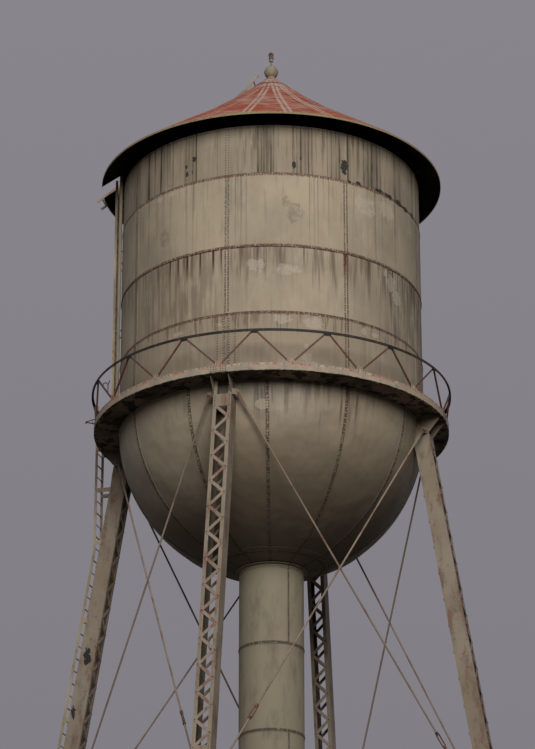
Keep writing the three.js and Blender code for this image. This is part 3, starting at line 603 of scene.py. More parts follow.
def shell_finish():
    """Weathered paint of the shell: streaks from the eave and seams, rust, flaked patches, painted shadow
    with rust along the laps' edges, and stain with painted shade on the top and bottom courses.
    """
    f = Finish("shell_paint")
    high = f.z - SPRING
    turns = (f.turn() + 20) % 180 + 160
    broad = f.noise(0.55, 4)
    cloth = f.noise(3.2, 5, 0.6, at=f.vector(f.x, f.y, f.z * 0.45))
    speckle = f.noise(9.0, 5, 0.65)
    fine = f.noise(15.0, 3, 0.6, at=f.unrolled(0.05))
    groups = f.noise(1.1, 2, at=f.unrolled(0.02))
    lengths = f.noise(7.0, 2, 0.7, at=f.unrolled(0.01))
    f.base("paint_shade", "paint", f.between(broad, 0.3, 0.72))
    f.coat("paint_light", f.between(cloth, 0.42, 0.75) * 0.3)
    f.coat("grime", f.between(fine, 0.50, 0.68) * 0.1)

    wobble = turns + (f.noise(2.0, 2, at=f.unrolled(0.25)) - 0.5) * 0.5
    fade = 0.55 + f.between(f.noise(3.0, 3, 0.6, at=f.unrolled(0.35)), 0.30, 0.62) * 0.45
    top = f.between(high, SEAMS[1] + 0.03, SEAMS[1] + 0.05)
    upper = f.between(high, SEAMS[2] - 0.04, SEAMS[2] - 0.02)
    second = upper * (1.0 - top)
    third = f.between(high, SEAMS[3] + 0.03, SEAMS[3] + 0.05) * (1.0 - upper)
    threads = 0.55 + f.between(f.noise(34.0, 2, 0.6, at=f.unrolled(0.03)), 0.36, 0.56) * 0.45
    dark = f.strips(wobble, EAVE_STREAKS) * top * fade * threads * 2.1
    random = f.between(fine * 0.72 + groups * 0.6, 0.70, 0.80) * top * f.between(high, 4.9, 6.2)
    dark = f.highest(dark, random * 0.5)
    fall = f.between(high, SEAMS[1] - 1.9, SEAMS[1] - 0.2)
    dark = f.highest(dark, f.strips(wobble, SECOND_STREAKS) * second * fade * (0.5 + fall * 0.9))
    dark = f.highest(dark, f.between(fine * 0.7 + lengths * 0.5, 0.63, 0.72) * second * fall * 0.14)
    f.coat("grime", dark)

    drop = SEAMS[2] - 0.15 - f.between(lengths, 0.30, 0.72) * 1.0
    fall = f.between(high, drop - 0.25, drop + 0.25) * third
    runs = f.strips(wobble, THIRD_STREAKS) * f.between(high, SEAMS[2] - 0.80, SEAMS[2] - 0.12) * third
    drips = f.between(fine * 0.65 + groups * 0.45, 0.50, 0.62) * fall * 0.55
    low_drop = SEAMS[3] - 0.05 - f.between(lengths, 0.35, 0.70) * 0.5
    low_fall = f.between(high, low_drop - 0.08, low_drop + 0.08) * (1.0 - third)
    low_fall = low_fall * (1.0 - second) * (1.0 - top)
    drips = f.highest(drips, f.between(fine, 0.50, 0.60) * low_fall * 0.6)
    mottle = fine * 0.6 + cloth * 0.5
    west = f.near(turns, STAIN_TURNS[0], 26, 12) * third * f.between(mottle, 0.44, 0.62) * 0.5
    east = f.near(turns, STAIN_TURNS[1], 26, 12) * third * f.between(mottle, 0.42, 0.62) * 0.5
    f.coat("stain_and_shade", f.highest(drips, west))
    f.coat("grime", east)
    f.coat("rust_dark", runs * 1.25)

    # Dark lines at the laps' edges: painted shadow of each edge, with rust in it
    lap_edge_rust_and_shadow = []
    bands = []
    for seam, lap, strength in zip(SEAMS[1:4], (1, -1, 1), (0.75, 0.95, 0.9)):
        lap_edge_rust_and_shadow.append(f.near(high, seam + lap * LAP / 2, 0.022, 0.010) * strength)
        bands.append(f.near(high, seam - lap * 0.004, 0.040, 0.020) * strength)
    grain = f.noise(21.0, 4, 0.6)
    upright = f.highest(*(f.near(abs(turns - turn), 0.56, 0.42, 0.18) for turn in (180, 225, 270, 315)))
    upright = upright * f.between(high, SEAMS[1], SEAMS[1] - 0.05)
    f.coat("grime", upright * f.between(grain, 0.40, 0.56) * 0.7)
    red = f.near(turns, RUSTY_SEAM_TURN, 1.6, 0.6) * f.between(high, SEAMS[2] - 0.9, SEAMS[2] - 0.1) * third
    f.coat("rust", red * f.between(grain, 0.42, 0.54) * 0.9)
    f.coat("rust", f.highest(*bands) * f.between(grain, 0.40, 0.54) * 0.9)
    # Painted shadow and rust along the laps' edges
    f.coat("rust_dark", f.highest(*lap_edge_rust_and_shadow) * f.between(grain, 0.30, 0.50) * 0.9)

    ragged = f.noise(5.0, 6, 0.74) * 1.3 + f.noise(17.0, 4, 0.7) * 0.9 - 0.6
    smudged = f.spots(turns, high, SMUDGES, cloth) * f.between(speckle, 0.34, 0.60)
    f.coat("grime", smudged * 0.3)
    # Stain and painted shade on the top course under the eave and the bottom course over the balcony
    ends = f.highest(top, f.between(high, SEAMS[3] + 0.04, SEAMS[3] + 0.02))
    f.coat("stain_and_shade", ends * f.between(broad + fine * 0.5, 0.50, 0.85) * 0.3)
    flaked = f.highest(
        f.spots(turns, high, PALE_PLACES, ragged), f.between(f.noise(1.9, 6, 0.72), 0.72, 0.73)
    )
    f.coat("flaked", flaked * f.between(grain, 0.30, 0.46) * 0.42)
    bare = f.highest(
        f.spots(turns, high, BARE_PLACES, ragged), f.between(f.noise(2.9, 6, 0.72), 0.765, 0.77)
    )
    f.coat("bare", bare * 0.95)
    height = speckle * 0.5 + cloth * 0.4 - bare * 0.5 - flaked * 0.3
    return f.finished(0.62 + speckle * 0.3, height)


def bowl_finish():
    """Paint of the bowl: broad stains, brown grime with painted shade towards the bottom, painted light on
    its upper left side, and rust along the gores' seams.
    """
    f = Finish("bowl_paint")
    down = (SPRING - f.z) / TANK_RADIUS
    broad = f.noise(0.55, 5, 0.6)
    cloth = f.noise(2.2, 5, 0.62)
    speckle = f.noise(9.0, 5, 0.65)
    f.base("paint_shade", "paint", f.between(broad, 0.34, 0.66))
    f.coat("paint_light", f.between(cloth, 0.50, 0.72) * 0.3)
    f.coat("stain_and_shade", f.between(cloth, 0.46, 0.30) * 0.16)
    # Brown dirt and painted shade, darker towards the bottom
    low = f.between(down + (broad - 0.5) * 0.6, 0.05, 0.85)
    f.coat("warm_grime_and_shade", low * 0.82)
    # Painted light on the bowl's upper left side
    left = f.near(f.turn(), BOWL_PAINTED_LIGHT_TURN, 48, 16) * f.between(down, 0.9, 0.5)
    f.coat("paint_light", left * 0.35)
    streak = f.noise(9.0, 4, 0.62, at=f.unrolled(0.07))
    f.coat("grime", f.between(streak, 0.54, 0.72) * f.between(down, 0.62, 0.0) * 0.4)
    gore = abs((f.turn() + GORE_TURN / 2) % GORE_TURN - GORE_TURN / 2) * (math.pi / 180) * f.radius()
    red = f.near(f.turn(), BOWL_RUST_TURN, 30, 18)
    line = f.between(gore, 0.046, 0.026)
    line = f.highest(line, f.near(f.radius(), DISH_RADIUS, 0.045, 0.022))
    grain = f.noise(19.0, 4, 0.6)
    f.coat("grime", line * f.between(grain, 0.44, 0.54) * 0.85)
    rusty = f.between(gore, 0.036, 0.018) * red * f.between(down, 0.42, 0.20) * f.between(grain, 0.42, 0.54)
    f.coat("rust", rusty * 0.85)
    near = f.between(gore, 0.42, 0.03) * red * f.between(down, 0.45, 0.1)
    f.coat("rust_dark", near * f.between(streak, 0.46, 0.62) * 0.45)
    brown = f.between(down, 0.34, 0.06) * f.between(streak * 0.6 + broad * 0.6, 0.56, 0.70) * red
    f.coat("rust_dark", brown * 0.55)
    bare = f.between(f.noise(3.4, 6, 0.7), 0.745, 0.76)
    f.coat("bare", bare * 0.8)
    pale = f.blots(BOWL_PALE_PLACES, cloth * 0.3 + 0.35)
    f.coat("paint_light", pale * 0.45)
    dents = f.noise(1.3, 2, 0.5)
    return f.finished(0.36 + speckle * 0.35, speckle * 0.10 + cloth * 0.30 + dents * 5.0, 0.02)


def steel_finish(name, first, second, rust_share, grime_share, scale=1.0, rows=False, bare=()):
    """Paint of the steelwork, with rust where it has worn; rows dirties the pipe's seams and paints shadow
    under them; the bare places also bring dirt and painted shade inside the legs' channels.
    """
    f = Finish(name)
    broad = f.noise(0.7 * scale, 4)
    cloth = f.noise(4.0 * scale, 5, 0.62, at=f.vector(f.x, f.y, f.z * 0.3))
    speckle = f.noise(11.0 * scale, 5, 0.66)
    f.base(first, second, f.between(broad, 0.32, 0.7))
    f.coat("grime", f.between(cloth, 0.46, 0.72) * grime_share)
    if rust_share:
        worn = f.between(cloth * 0.55 + speckle * 0.55, 0.62 - 0.14 * rust_share, 0.70 - 0.10 * rust_share)
        f.coat("rust_pink", worn * min(1.0, 0.35 + rust_share))
        f.coat("rust_dark", f.between(speckle, 0.64, 0.74) * 0.5)
        lost = f.between(f.noise(1.7 * scale, 6, 0.72), 0.735, 0.745)
        f.coat("bare", lost * 0.9)
    if bare:
        # Dirt and painted shade inside the legs' channels
        across = (abs(f.x) - abs(f.y)) / math.sqrt(2)
        along = (abs(f.x) + abs(f.y)) / math.sqrt(2) - LEG_RADIUS - (SPRING - f.z) * LEG_BATTER
        inside = f.between(abs(across), LEG_WIDTH / 2 - 0.006, LEG_WIDTH / 2 - 0.014)
        inside = inside * f.between(abs(along), LEG_DEPTH / 2 - 0.006, LEG_DEPTH / 2 - 0.014)
        f.coat("soot_light", inside * 0.8)
        f.coat("bare", f.blots(bare, cloth * 0.9 + speckle * 1.3 - 0.6))
    if rows:
        grain = f.between(f.noise(21.0, 4, 0.6), 0.34, 0.50)
        course = (f.z - (SPRING + RISER_SEAM_Z)) / RISER_COURSE + 20
        level = abs((course + 0.5) % 1 - 0.5) * RISER_COURSE
        ring = f.between(level, 0.046, 0.024) * 0.8
        # Painted shadow under each of the pipe's seams
        under = f.between(course % 1, 0.84, 0.97) * 0.3
        upright = f.near(f.turn(), RISER_SEAM_TURN, 2.4, 1.0) * f.between(course % 2, 1.0, 0.99)
        f.coat("grime", f.highest(ring, upright * 0.7) * grain)
        f.coat("stain_and_shade", under * f.between(cloth, 0.36, 0.60))
    return f.finished(0.6 + speckle * 0.3, speckle * 0.7 + cloth * 0.3, 0.003)


def fascia_finish():
    """Tan paint of the channel round the balcony, worn to pink and white along its upper edge."""
    f = Finish("girder_paint")
    high = f.z - SPRING - BALCONY_BOTTOM_Z
    cloth = f.noise(2.4, 5, 0.62, at=f.unrolled(0.6))
    speckle = f.noise(10.0, 5, 0.66)
    f.base("leg", "paint", f.between(cloth, 0.35, 0.65))
    f.coat("rust", f.between(speckle, 0.56, 0.70) * 0.5)
    upper = f.between(high, 0.07, 0.17)
    f.coat("fascia_pink", upper * f.between(cloth, 0.44, 0.56))
    f.coat("flaked", upper * f.between(speckle, 0.52, 0.60) * 0.8)
    f.coat("soot_light", f.between(high, 0.02, 0.0) * f.between(speckle, 0.40, 0.52))
    return f.finished(0.6 + speckle * 0.3, speckle, 0.003)


def roof_finish():
    """Faded red roof, worn in rings, with pairs of pale seams, a khaki rim, and soot with painted shade on
    its underside.
    """
    f = Finish("roof_sheet_paint")
    reach = f.radius()
    broad = f.noise(0.8, 4, 0.6)
    rings = f.noise(2.4, 5, 0.68, at=f.vector(f.x, f.y, f.z * 9.0))
    speckle = f.noise(8.0, 5, 0.66)
    f.base("roof_dark", "roof", f.between(rings, 0.40, 0.60))
    washed = f.between(rings * 0.6 + broad * 0.5, 0.54, 0.64)
    f.coat("roof_pale", washed * 0.6)
    step = 360.0 / ROOF_PAIRS
    beside = abs((f.turn() + 360 + step / 2 - ROOF_PAIR_TURN) % step - step / 2) * (math.pi / 180) * reach
    pair = f.near(beside, reach * 0.006 + 0.045, 0.046, 0.022)
    pair = pair * f.between(speckle + rings, 0.76, 1.00)
    front = f.near(f.turn(), ROOF_PALE_TURN, 34, 18)
    f.coat("roof_pale", pair * (0.35 + front * 0.65))
    patched = f.between(reach, 0.62, 0.50) * f.between(f.noise(5.0, 4, 0.6), 0.52, 0.58)
    f.coat("roof_pale", patched * 0.7)
    lip = f.near(reach, CAP_RADIUS, 0.035, 0.012) * f.between(speckle, 0.34, 0.50)
    f.coat("soot_light", lip * 0.85)
    f.coat("rust_dark", f.between(speckle, 0.62, 0.72) * 0.4)
    rim = f.between(reach, EAVE_RADIUS - 0.075, EAVE_RADIUS - 0.04)
    f.coat("rim", rim * f.between(speckle, 0.70, 0.50))
    # Soot and painted shade on faces that look down
    f.coat("soot", f.facing(-0.15, -0.4))
    return f.finished(0.75 + speckle * 0.2, speckle + rings * 0.5, 0.003)


def dark_finish(name, first, second):
    """Blackened steel under the eave and the balcony, with rust and lost scale showing through; under the
    eave its near-black is soot and painted shade.
    """
    f = Finish(name)
    broad = f.noise(0.9, 5, 0.62)
    speckle = f.noise(12.0, 5, 0.66)
    f.base(first, second, f.between(broad, 0.32, 0.62))
    f.coat("rust_dark", f.between(speckle, 0.60, 0.72) * 0.5)
    lost = f.between(f.noise(2.6, 5, 0.6), 0.515, 0.53)
    f.coat("soot", lost * 0.9)
    return f.finished(0.8 + speckle * 0.15, speckle, 0.003)


def colour_setting(name, description, levels):
    return bpy.props.FloatVectorProperty(
        name=name, description=description, subtype="COLOR", size=4, default=tint(*levels)
    )


def length_setting(name, description, default):
    return bpy.props.FloatProperty(
        name=name, description=description, default=default, unit="LENGTH", min=0.001
    )


class TowerColours(bpy.types.PropertyGroup):
    """Colours of the tower's paints, rust and grime."""

    paint: colour_setting("Paint", "Clean khaki paint", (178, 163, 138))
    paint_shade: colour_setting("Shaded paint", "Dulled khaki paint", (152, 140, 120))
    # Chalked paint, and painted light on the bowl's upper left side
    paint_light: colour_setting("Chalked paint", "Bleached paint", (196, 183, 160))
    grime: colour_setting("Grime", "Dark streaks", (52, 47, 40))
    # Brown dirt and painted shade towards the bowl's bottom
    warm_grime_and_shade: colour_setting("Warm grime", "Brown dirt under the bowl", (84, 70, 54))
    # Brown stain, and painted shadow under the riser's seams and painted shade on the shell's top and bottom
    # courses
    stain_and_shade: colour_setting("Stain", "Brown stain under the seams", (98, 80, 64))
    rust: colour_setting("Rust", "Fresh rust", (104, 48, 38))
    rust_pink: colour_setting("Pale rust", "Rust bleached to pink on the steelwork", (132, 84, 70))
    rust_dark: colour_setting("Old rust", "Dark rust", (58, 32, 26))
    flaked: colour_setting("Undercoat", "Pale coat where paint has flaked", (196, 186, 170))
    bare: colour_setting("Bare plate", "Black plate where paint is lost", (34, 32, 32))
    roof: colour_setting("Roof red", "Faded red roof paint", (168, 82, 50))
    roof_dark: colour_setting("Roof dark red", "Darker roof paint", (136, 57, 38))
    roof_pale: colour_setting("Roof grey", "Grey where the red has washed off", (176, 154, 138))
    rim: colour_setting("Rim", "Khaki paint of the eave's rim", (146, 132, 98))
    pipe: colour_setting("Pipe paint", "Greenish khaki of the riser pipe", (150, 142, 118))
    leg: colour_setting("Leg paint", "Tan leg paint", (150, 139, 122))
    leg_pink: colour_setting("Leg stain", "Pinkish stained leg paint", (136, 121, 102))
    lacing: colour_setting("Lacing paint", "Paint of the lacing bars", (158, 144, 128))
    fascia_pink: colour_setting("Worn edge", "Pink where the balcony's edge has worn", (168, 120, 104))
    rod: colour_setting("Rod paint", "Paint of the tie rods", (152, 134, 119))
    # Dirty paint of the rivets, darker also as painted shade of the heads
    rivet: colour_setting("Rivet paint", "Dirty paint of the rivets", (96, 82, 70))
    rail_bar: colour_setting("Rail bar", "Paint of the handrail's bars", (92, 78, 68))
    floor: colour_setting("Balcony's underside", "Brown steel under the balcony", (136, 116, 96))
    # Soot, and painted shade on the roof's underside and under the eave
    soot: colour_setting("Soot", "Blackened steel", (18, 16, 15))
    # Worn soot, and painted shade inside the legs' channels
    soot_light: colour_setting("Worn soot", "Blackened steel, worn", (48, 41, 36))


class TowerSizes(bpy.types.PropertyGroup):
    """Sizes of the tower's small repeated things."""

    rivet: length_setting("Rivet", "Radius of a plate rivet's head", 0.017)
    rivet_pitch: length_setting("Rivet pitch", "Distance between plate rivets", 0.066)
    strap: length_setting("Seam strap", "Width of a lapped plate edge", 0.12)
    lacing_pitch: length_setting("Lacing pitch", "Height of one lacing bar", 0.315)
    lacing_width: length_setting("Lacing width", "Width of a lacing bar", 0.072)
    rod_radius: length_setting("Rod radius", "Radius of a tie rod", 0.022)


# Paints of the steelwork: two colours, the shares of rust and grime, the pattern's scale, whether it
# dirties the riser's seams and paints shadow under them, and places where it is lost, with painted shade
# inside the legs' channels
STEEL_PAINTS = {
    "pipe_paint": ("pipe", "paint_shade", 0.0, 0.35, 0.8),
    "riser_paint": ("pipe", "paint_shade", 0.0, 0.35, 0.8, True),
    "ladder_paint": ("paint", "leg_pink", 0.2, 0.25),
    "leg_steel_paint": ("leg", "leg_pink", 0.3, 0.5, 1.0, False, LEG_BARE_PLACES),
    "lacing_paint": ("lacing", "leg_pink", 0.5, 0.3),
    "rod_paint": ("rod", "leg_pink", 0.3, 0.35),
    "buckle_paint": ("soot_light", "rust_pink", 0.4, 0.6, 3.0),
    # Rivet heads darkened by grime and painted shade
    "rivet_paint": ("rivet", "rust_dark", 0.4, 0.7, 1.5),
    "rail_steel": ("soot", "soot_light", 0.15, 0.6, 2.0),
    "rail_bar_paint": ("rail_bar", "rust", 0.35, 0.5, 1.4),
    "lamp_paint": ("lacing", "soot_light", 0.3, 0.6, 5.0),
}
# Under the eave the steel is near-black: soot and painted shade
DARK_PAINTS = {"soffit_steel": ("soot", "soot_light"), "floor_steel": ("soot_light", "floor")}
PLATE_PAINTS = {
    "shell_paint": shell_finish, "bowl_paint": bowl_finish, "roof_sheet_paint": roof_finish,
    "girder_paint": fascia_finish,
}


def tower_finish(name):
    """The named finish, made the first time that it's asked for."""
    made = bpy.data.materials.get(name)
    if made:
        return made
    if name in STEEL_PAINTS:
        return steel_finish(name, *STEEL_PAINTS[name])
    if name in DARK_PAINTS:
        return dark_finish(name, *DARK_PAINTS[name])
    return PLATE_PAINTS[name]()


def tower_sizes():
    return bpy.context.scene.tower_sizes


def spread(count):
    """Turns evenly spaced round the axis."""
    return [360 * k / count for k in range(count)]


def rivet_turns(radius, sparseness=1.0):
    """Turns of a ring of rivets, at the usual pitch or a multiple of it."""
    return spread(round(math.tau * radius / (tower_sizes().rivet_pitch * sparseness)))


def circle(radius, z, sparseness=1.0):
    """Places for rivets round the axis, each with its outward normal."""
    return [(around(radius, turn, z), around(1, turn, 0)) for turn in rivet_turns(radius, sparseness)]


def column(radius, turn, sideways, low, high, pitch=None):
    """Places for rivets one above another on a wall round the axis."""
    count = max(2, round((high - low) / (pitch or tower_sizes().rivet_pitch)) + 1)
    off = turn + math.degrees(sideways / radius)
    return [(around(radius, off, z), around(1, off, 0)) for z in steps(low, high, count)]


def wall_strap(shape, radius, turn, width, low, high, thick):
    """A curved flat bar that stands on a round wall."""
    shape.slab(
        lambda a, b, h: around(radius + h, turn + math.degrees(a / radius), b),
        steps(-width / 2, width / 2, 5), (low, high), 0.0, thick,
    )


def shell_courses():
    """Four courses of plates, lapped at their seams, with straps and rivets."""
    rivets = Shape()
    width = tower_sizes().strap
    for index, turns in enumerate(SHELL_SEAM_TURNS):
        outside = index % 2 == 1
        inner = TANK_RADIUS if outside else TANK_RADIUS - PLATE - GAP
        outer = inner + PLATE
        top = SPRING + (SEAMS[0] if index == 0 else SEAMS[index] + LAP / 2)
        low = SPRING + SEAMS[index + 1] - LAP / 2
        plate = Shape()
        plate.ring(inner, outer, low, top)
        clear = 0.0 if outside else LAP + 0.002
        for turn in turns:
            wall_strap(plate, outer, turn, width, low + clear, top - (clear if index else 0), STRAP_THICK)
            for side in ROW_SHARES:
                rivets.rivets(column(outer + STRAP_THICK, turn, side * width, low + LAP, top - LAP))
        plate.piece(f"shell_plates_{index + 1}", "shell_paint", (f"shell_course_{index + 1}",))
    for seam in SEAMS[1:]:
        rivets.rivets(circle(TANK_RADIUS + PLATE, SPRING + seam))
    rivets.rivets(circle(TANK_RADIUS - GAP, SPRING + SEAMS[0] - 0.05))
    straps = Shape()
    wall = TANK_RADIUS + PLATE
    for turn in LEG_TURNS.values():
        high = SPRING + SEAMS[3] - LAP / 2 - 0.02
        wall_strap(straps, wall, turn, LEG_STRAP_WIDTH, SPRING - 0.03, high, LEG_STRAP_THICK)
        for side in (-0.4, -0.133, 0.133, 0.4):
            sideways = side * LEG_STRAP_WIDTH
            rivets.rivets(column(wall + LEG_STRAP_THICK, turn, sideways, SPRING + 0.04, high - 0.05))
    straps.piece("leg_straps", "shell_paint")
    rivets.piece("shell_rivets", "rivet_paint", sharp=180)


def bowl_point(radius, turn, angle, sideways, height):
    """A point on the bowl at an angle from straight down, beside a meridian."""
    reach = (radius + height) * math.sin(angle)
    off = turn + math.degrees(sideways / max(reach, 0.2))
    return around(reach, off, SPRING - (radius + height) * math.cos(angle))


def bowl_normal(turn, angle):
    return around(math.sin(angle), turn, -math.cos(angle))


def bowl_plates():
    """Gores of the bowl with their straps, the dish that closes it, and the rivets."""
    sizes = tower_sizes()
    outer = TANK_RADIUS - GAP
    dish = math.asin(DISH_RADIUS / TANK_RADIUS)
    hole = math.asin((RISER_RADIUS + HOLE_GAP) / TANK_RADIUS)

    def meridian(radius, low, high, count):
        return [(radius * math.sin(a), SPRING - radius * math.cos(a)) for a in steps(low, high, count)]

    gores = Shape()
    seam_gap = GAP / TANK_RADIUS
    profile = meridian(outer, dish + seam_gap, math.pi / 2, 40)
    profile += [(outer, SPRING + LAP), (outer - PLATE, SPRING + LAP)]
    profile += meridian(outer - PLATE, math.pi / 2, dish + seam_gap, 40)
    gores.lathe(profile)
    rivets = Shape()
    width = sizes.strap * 0.75
    low = dish + 0.055
    high = math.pi / 2 - 0.045
    for turn in range(0, 360, GORE_TURN):
        gores.slab(
            lambda a, b, h, turn=turn: bowl_point(outer, turn, b, a, h),
            (-width / 2, 0, width / 2), steps(low, high, 30), 0.0, STRAP_THICK,
        )
        count = round((high - low) * outer / sizes.rivet_pitch)
        for angle in steps(low + 0.01, high - 0.008, count):
            for side in ROW_SHARES:
                point = bowl_point(outer, turn, angle, side * width, STRAP_THICK)
                rivets.rivet(point, bowl_normal(turn, angle), 0.9)
    gores.piece("bowl_plates", "bowl_paint", ("bowl",))

    bottom = Shape()
    bottom.lathe(meridian(outer, hole, dish, 9) + meridian(outer - PLATE, dish, hole, 9))
    near, far = dish - 0.005, dish + 0.045
    bottom.lathe(meridian(outer + 0.0005, near, far, 4) + meridian(outer + 0.008, far, near, 4))
    for angle in (dish + 0.009, dish + 0.033):
        for turn in rivet_turns(outer * math.sin(angle)):
            point = bowl_point(outer, turn, angle, 0, 0.008)
            rivets.rivet(point, bowl_normal(turn, angle), 0.9)
    bottom.piece("bowl_dish_plate", "bowl_paint", ("bowl_dish",))
    rivets.piece("bowl_rivets", "rivet_paint", sharp=180)


def slope_place(turn, thick):
    """Places on the roof's slope: a sideways, b from the axis, h above the sheet."""
    return lambda a, b, h: around(b, turn + math.degrees(a / b), SPRING + roof_height(b) + thick + h)


def roof_sheets():
    """Sheets of the conical roof with lapped seams, a slot at the eave, the cap and the ball."""
    sheets = Shape()
    drop = ROOF_SHEET * 1.25
    outer = [(r, SPRING + z) for r, z in ROOF_PROFILE]
    inner = [(r, z - drop) for r, z in reversed(outer[1:])]
    lip = EAVE_RADIUS - ROOF_SHEET
    rim = [(lip, SPRING + roof_height(lip) - drop), (lip, SPRING + EAVE_Z), (EAVE_RADIUS, SPRING + EAVE_Z)]
    sheets.lathe(outer + inner + rim, 190, SLOT_TURN + SLOT_HALF_TURN, 360 - 2 * SLOT_HALF_TURN)
    edge = (SLOT_INNER_RADIUS, SPRING + roof_height(SLOT_INNER_RADIUS))
    sheets.lathe(
        [edge, *outer[1:], *inner, (edge[0], edge[1] - drop)],
        5, SLOT_TURN - SLOT_HALF_TURN, 2 * SLOT_HALF_TURN,
    )
    rivets = Shape()
    for turn in spread(ROOF_PANELS):
        beside_slot = abs((turn - SLOT_TURN + 180) % 360 - 180) < SLOT_HALF_TURN + 1
        reach = SLOT_INNER_RADIUS - 0.02 if beside_slot else EAVE_RADIUS - 0.01
        stations = [r for r in (reach, 3.0, 2.012, 1.5, 1.097, 0.7) if r <= reach]
        sheets.slab(slope_place(turn, 0.0), (-0.03, 0.03), stations, -0.002, 0.006)
        for radius in np.arange(0.8, reach - 0.03, 0.13):
            place = around(radius, turn, SPRING + roof_height(radius) + 0.006)
            lean = math.atan((roof_height(radius - 0.02) - roof_height(radius + 0.02)) / 0.04)
            rivets.rivet(place, around(math.sin(lean), turn, math.cos(lean)), 0.7)
    sheets.piece("roof_sheets", "roof_sheet_paint", ("roof",))
    rivets.piece("roof_rivets", "roof_sheet_paint", sharp=180)

    cap = Shape()
    skin = ROOF_SHEET
    shoulder = (ROOF_PROFILE[-1][0], SPRING + ROOF_PROFILE[-1][1] + GAP)
    seat = (CAP_RADIUS, SPRING + roof_height(CAP_RADIUS) + GAP)
    cap.lathe([
        (AXIS, SPRING + CAP_TOP_Z), (AXIS, SPRING + CAP_TOP_Z - skin),
        (CAP_TOP_RADIUS - skin, SPRING + CAP_TOP_Z - skin), shoulder, seat,
        (seat[0], seat[1] + 1.3 * skin), (shoulder[0], shoulder[1] + 1.3 * skin),
        (CAP_TOP_RADIUS + 0.03, SPRING + CAP_TOP_Z - 0.04), (CAP_TOP_RADIUS, SPRING + CAP_TOP_Z),
    ], 64)
    for k in range(10):
        turn = 36 * k + 9
        low = around(CAP_RADIUS - 0.02, turn, SPRING + roof_height(CAP_RADIUS) + 0.022)
        high = around(CAP_TOP_RADIUS + 0.04, turn, SPRING + CAP_TOP_Z - 0.05)
        cap.bar(low, high, 0.028, 0.012, around(0.7, turn, 0.7))
    cap.piece("roof_cap_sheet", "roof_sheet_paint", ("roof_cap",), weld=True)

    ball = Shape()
    start = math.asin(BALL_NECK / BALL_RADIUS)
    curve = [
        (max(AXIS, BALL_RADIUS * math.sin(a)), SPRING + BALL_Z - BALL_RADIUS * math.cos(a))
        for a in steps(start, math.pi, 22)
    ]
    foot = SPRING + CAP_TOP_Z
    flange = BALL_NECK + 0.05
    ball.lathe([(AXIS, foot), (flange, foot), (flange, foot + 0.014), (BALL_NECK, foot + 0.014), *curve], 40)
    middle = SPRING + BALL_Z
    ball.ring(BALL_RADIUS - 0.004, BALL_RADIUS + 0.004, middle - 0.012, middle + 0.012, 40)
    ball.piece("finial_ball", "pipe_paint", ("finial",))


def lamp_body():
    """The small lamp on its stem above the ball."""
    lamp = Shape()
    foot = SPRING + BALL_Z + BALL_RADIUS + GAP
    base = SPRING + LAMP_Z
    lamp.lathe([
        (AXIS, foot), (0.03, foot), (0.03, foot + 0.012), (0.017, foot + 0.014), (0.017, base),
        (0.044, base + 0.006), (0.048, base + 0.012), (0.048, base + 0.074), (0.060, base + 0.080),
        (0.062, base + 0.090), (0.062, base + 0.182), (0.068, base + 0.186), (0.067, base + 0.196),
        (0.061, base + 0.225), (0.045, base + 0.255), (AXIS, base + 0.275),
    ], 24)
    for k in range(6):
        lamp.tube([around(0.0635, 60 * k, base + 0.088), around(0.0635, 60 * k, base + 0.184)], 0.004, 6)
    lamp.piece("stem_lamp", "lamp_paint", ("top_lamp",))


def balcony_ring():
    """Floor plates, the channel round their edge with its splices, and the rivets."""
    sizes = tower_sizes()
    floor = Shape()
    under = SPRING + BALCONY_BOTTOM_Z + PLATE
    inner = TANK_RADIUS + GAP
    edge = BALCONY_RADIUS - PLATE - GAP
    floor.ring(inner, edge, under, under + PLATE)
    rivets = Shape()
    down = lift(-1)
    for k in range(BALCONY_PLATES):
        turn = 360 * (k + 0.5) / BALCONY_PLATES
        floor.slab(
            lambda a, b, h, turn=turn: around(b, turn, under - 0.006 + h, a),
            (-0.055, 0.055), (inner + 0.01, edge - FASCIA_FLANGE - 0.003), 0.0, 0.0065,
        )
        for radius in np.arange(inner + 0.05, edge - FASCIA_FLANGE - 0.02, sizes.rivet_pitch):
            for side in (-0.03, 0.03):
                rivets.rivet(around(radius, turn, under - 0.006, side), down, 0.9)
    for turn in rivet_turns(edge, 1.5):
        rivets.rivet(around(edge - 0.03, turn, under - PLATE), down, 0.9)
        rivets.rivet(around(inner + 0.045, turn, under), down, 0.9)
    floor.piece("balcony_plates", "floor_steel", ("balcony_floor",))
    rivets.piece("balcony_rivets", "floor_steel", sharp=180)

    girder = Shape()
    low = SPRING + BALCONY_BOTTOM_Z
    high = low + FASCIA_DEPTH
    toe = BALCONY_RADIUS - PLATE - FASCIA_FLANGE
    web = BALCONY_RADIUS - PLATE
    girder.lathe((
        (toe, low), (BALCONY_RADIUS, low), (BALCONY_RADIUS, high), (toe, high),
        (toe, high - PLATE), (web, high - PLATE), (web, low + PLATE), (toe, low + PLATE),
    ))
    heads = Shape()
    for turn in LEG_TURNS.values():
        wall_strap(girder, BALCONY_RADIUS, turn, 0.42, low + 0.012, high - 0.012, 0.009)
        for side in (-0.17, -0.11, -0.05, 0.05, 0.11, 0.17):
            places = column(BALCONY_RADIUS + 0.009, turn, side, low + 0.035, high - 0.035, 0.055)
            heads.rivets(places)
    heads.rivets(circle(BALCONY_RADIUS, high - 0.03, 3), 0.9)
    girder.piece("balcony_fascia", "girder_paint", ("balcony_girder",))
    heads.piece("fascia_rivets", "rivet_paint", sharp=180)


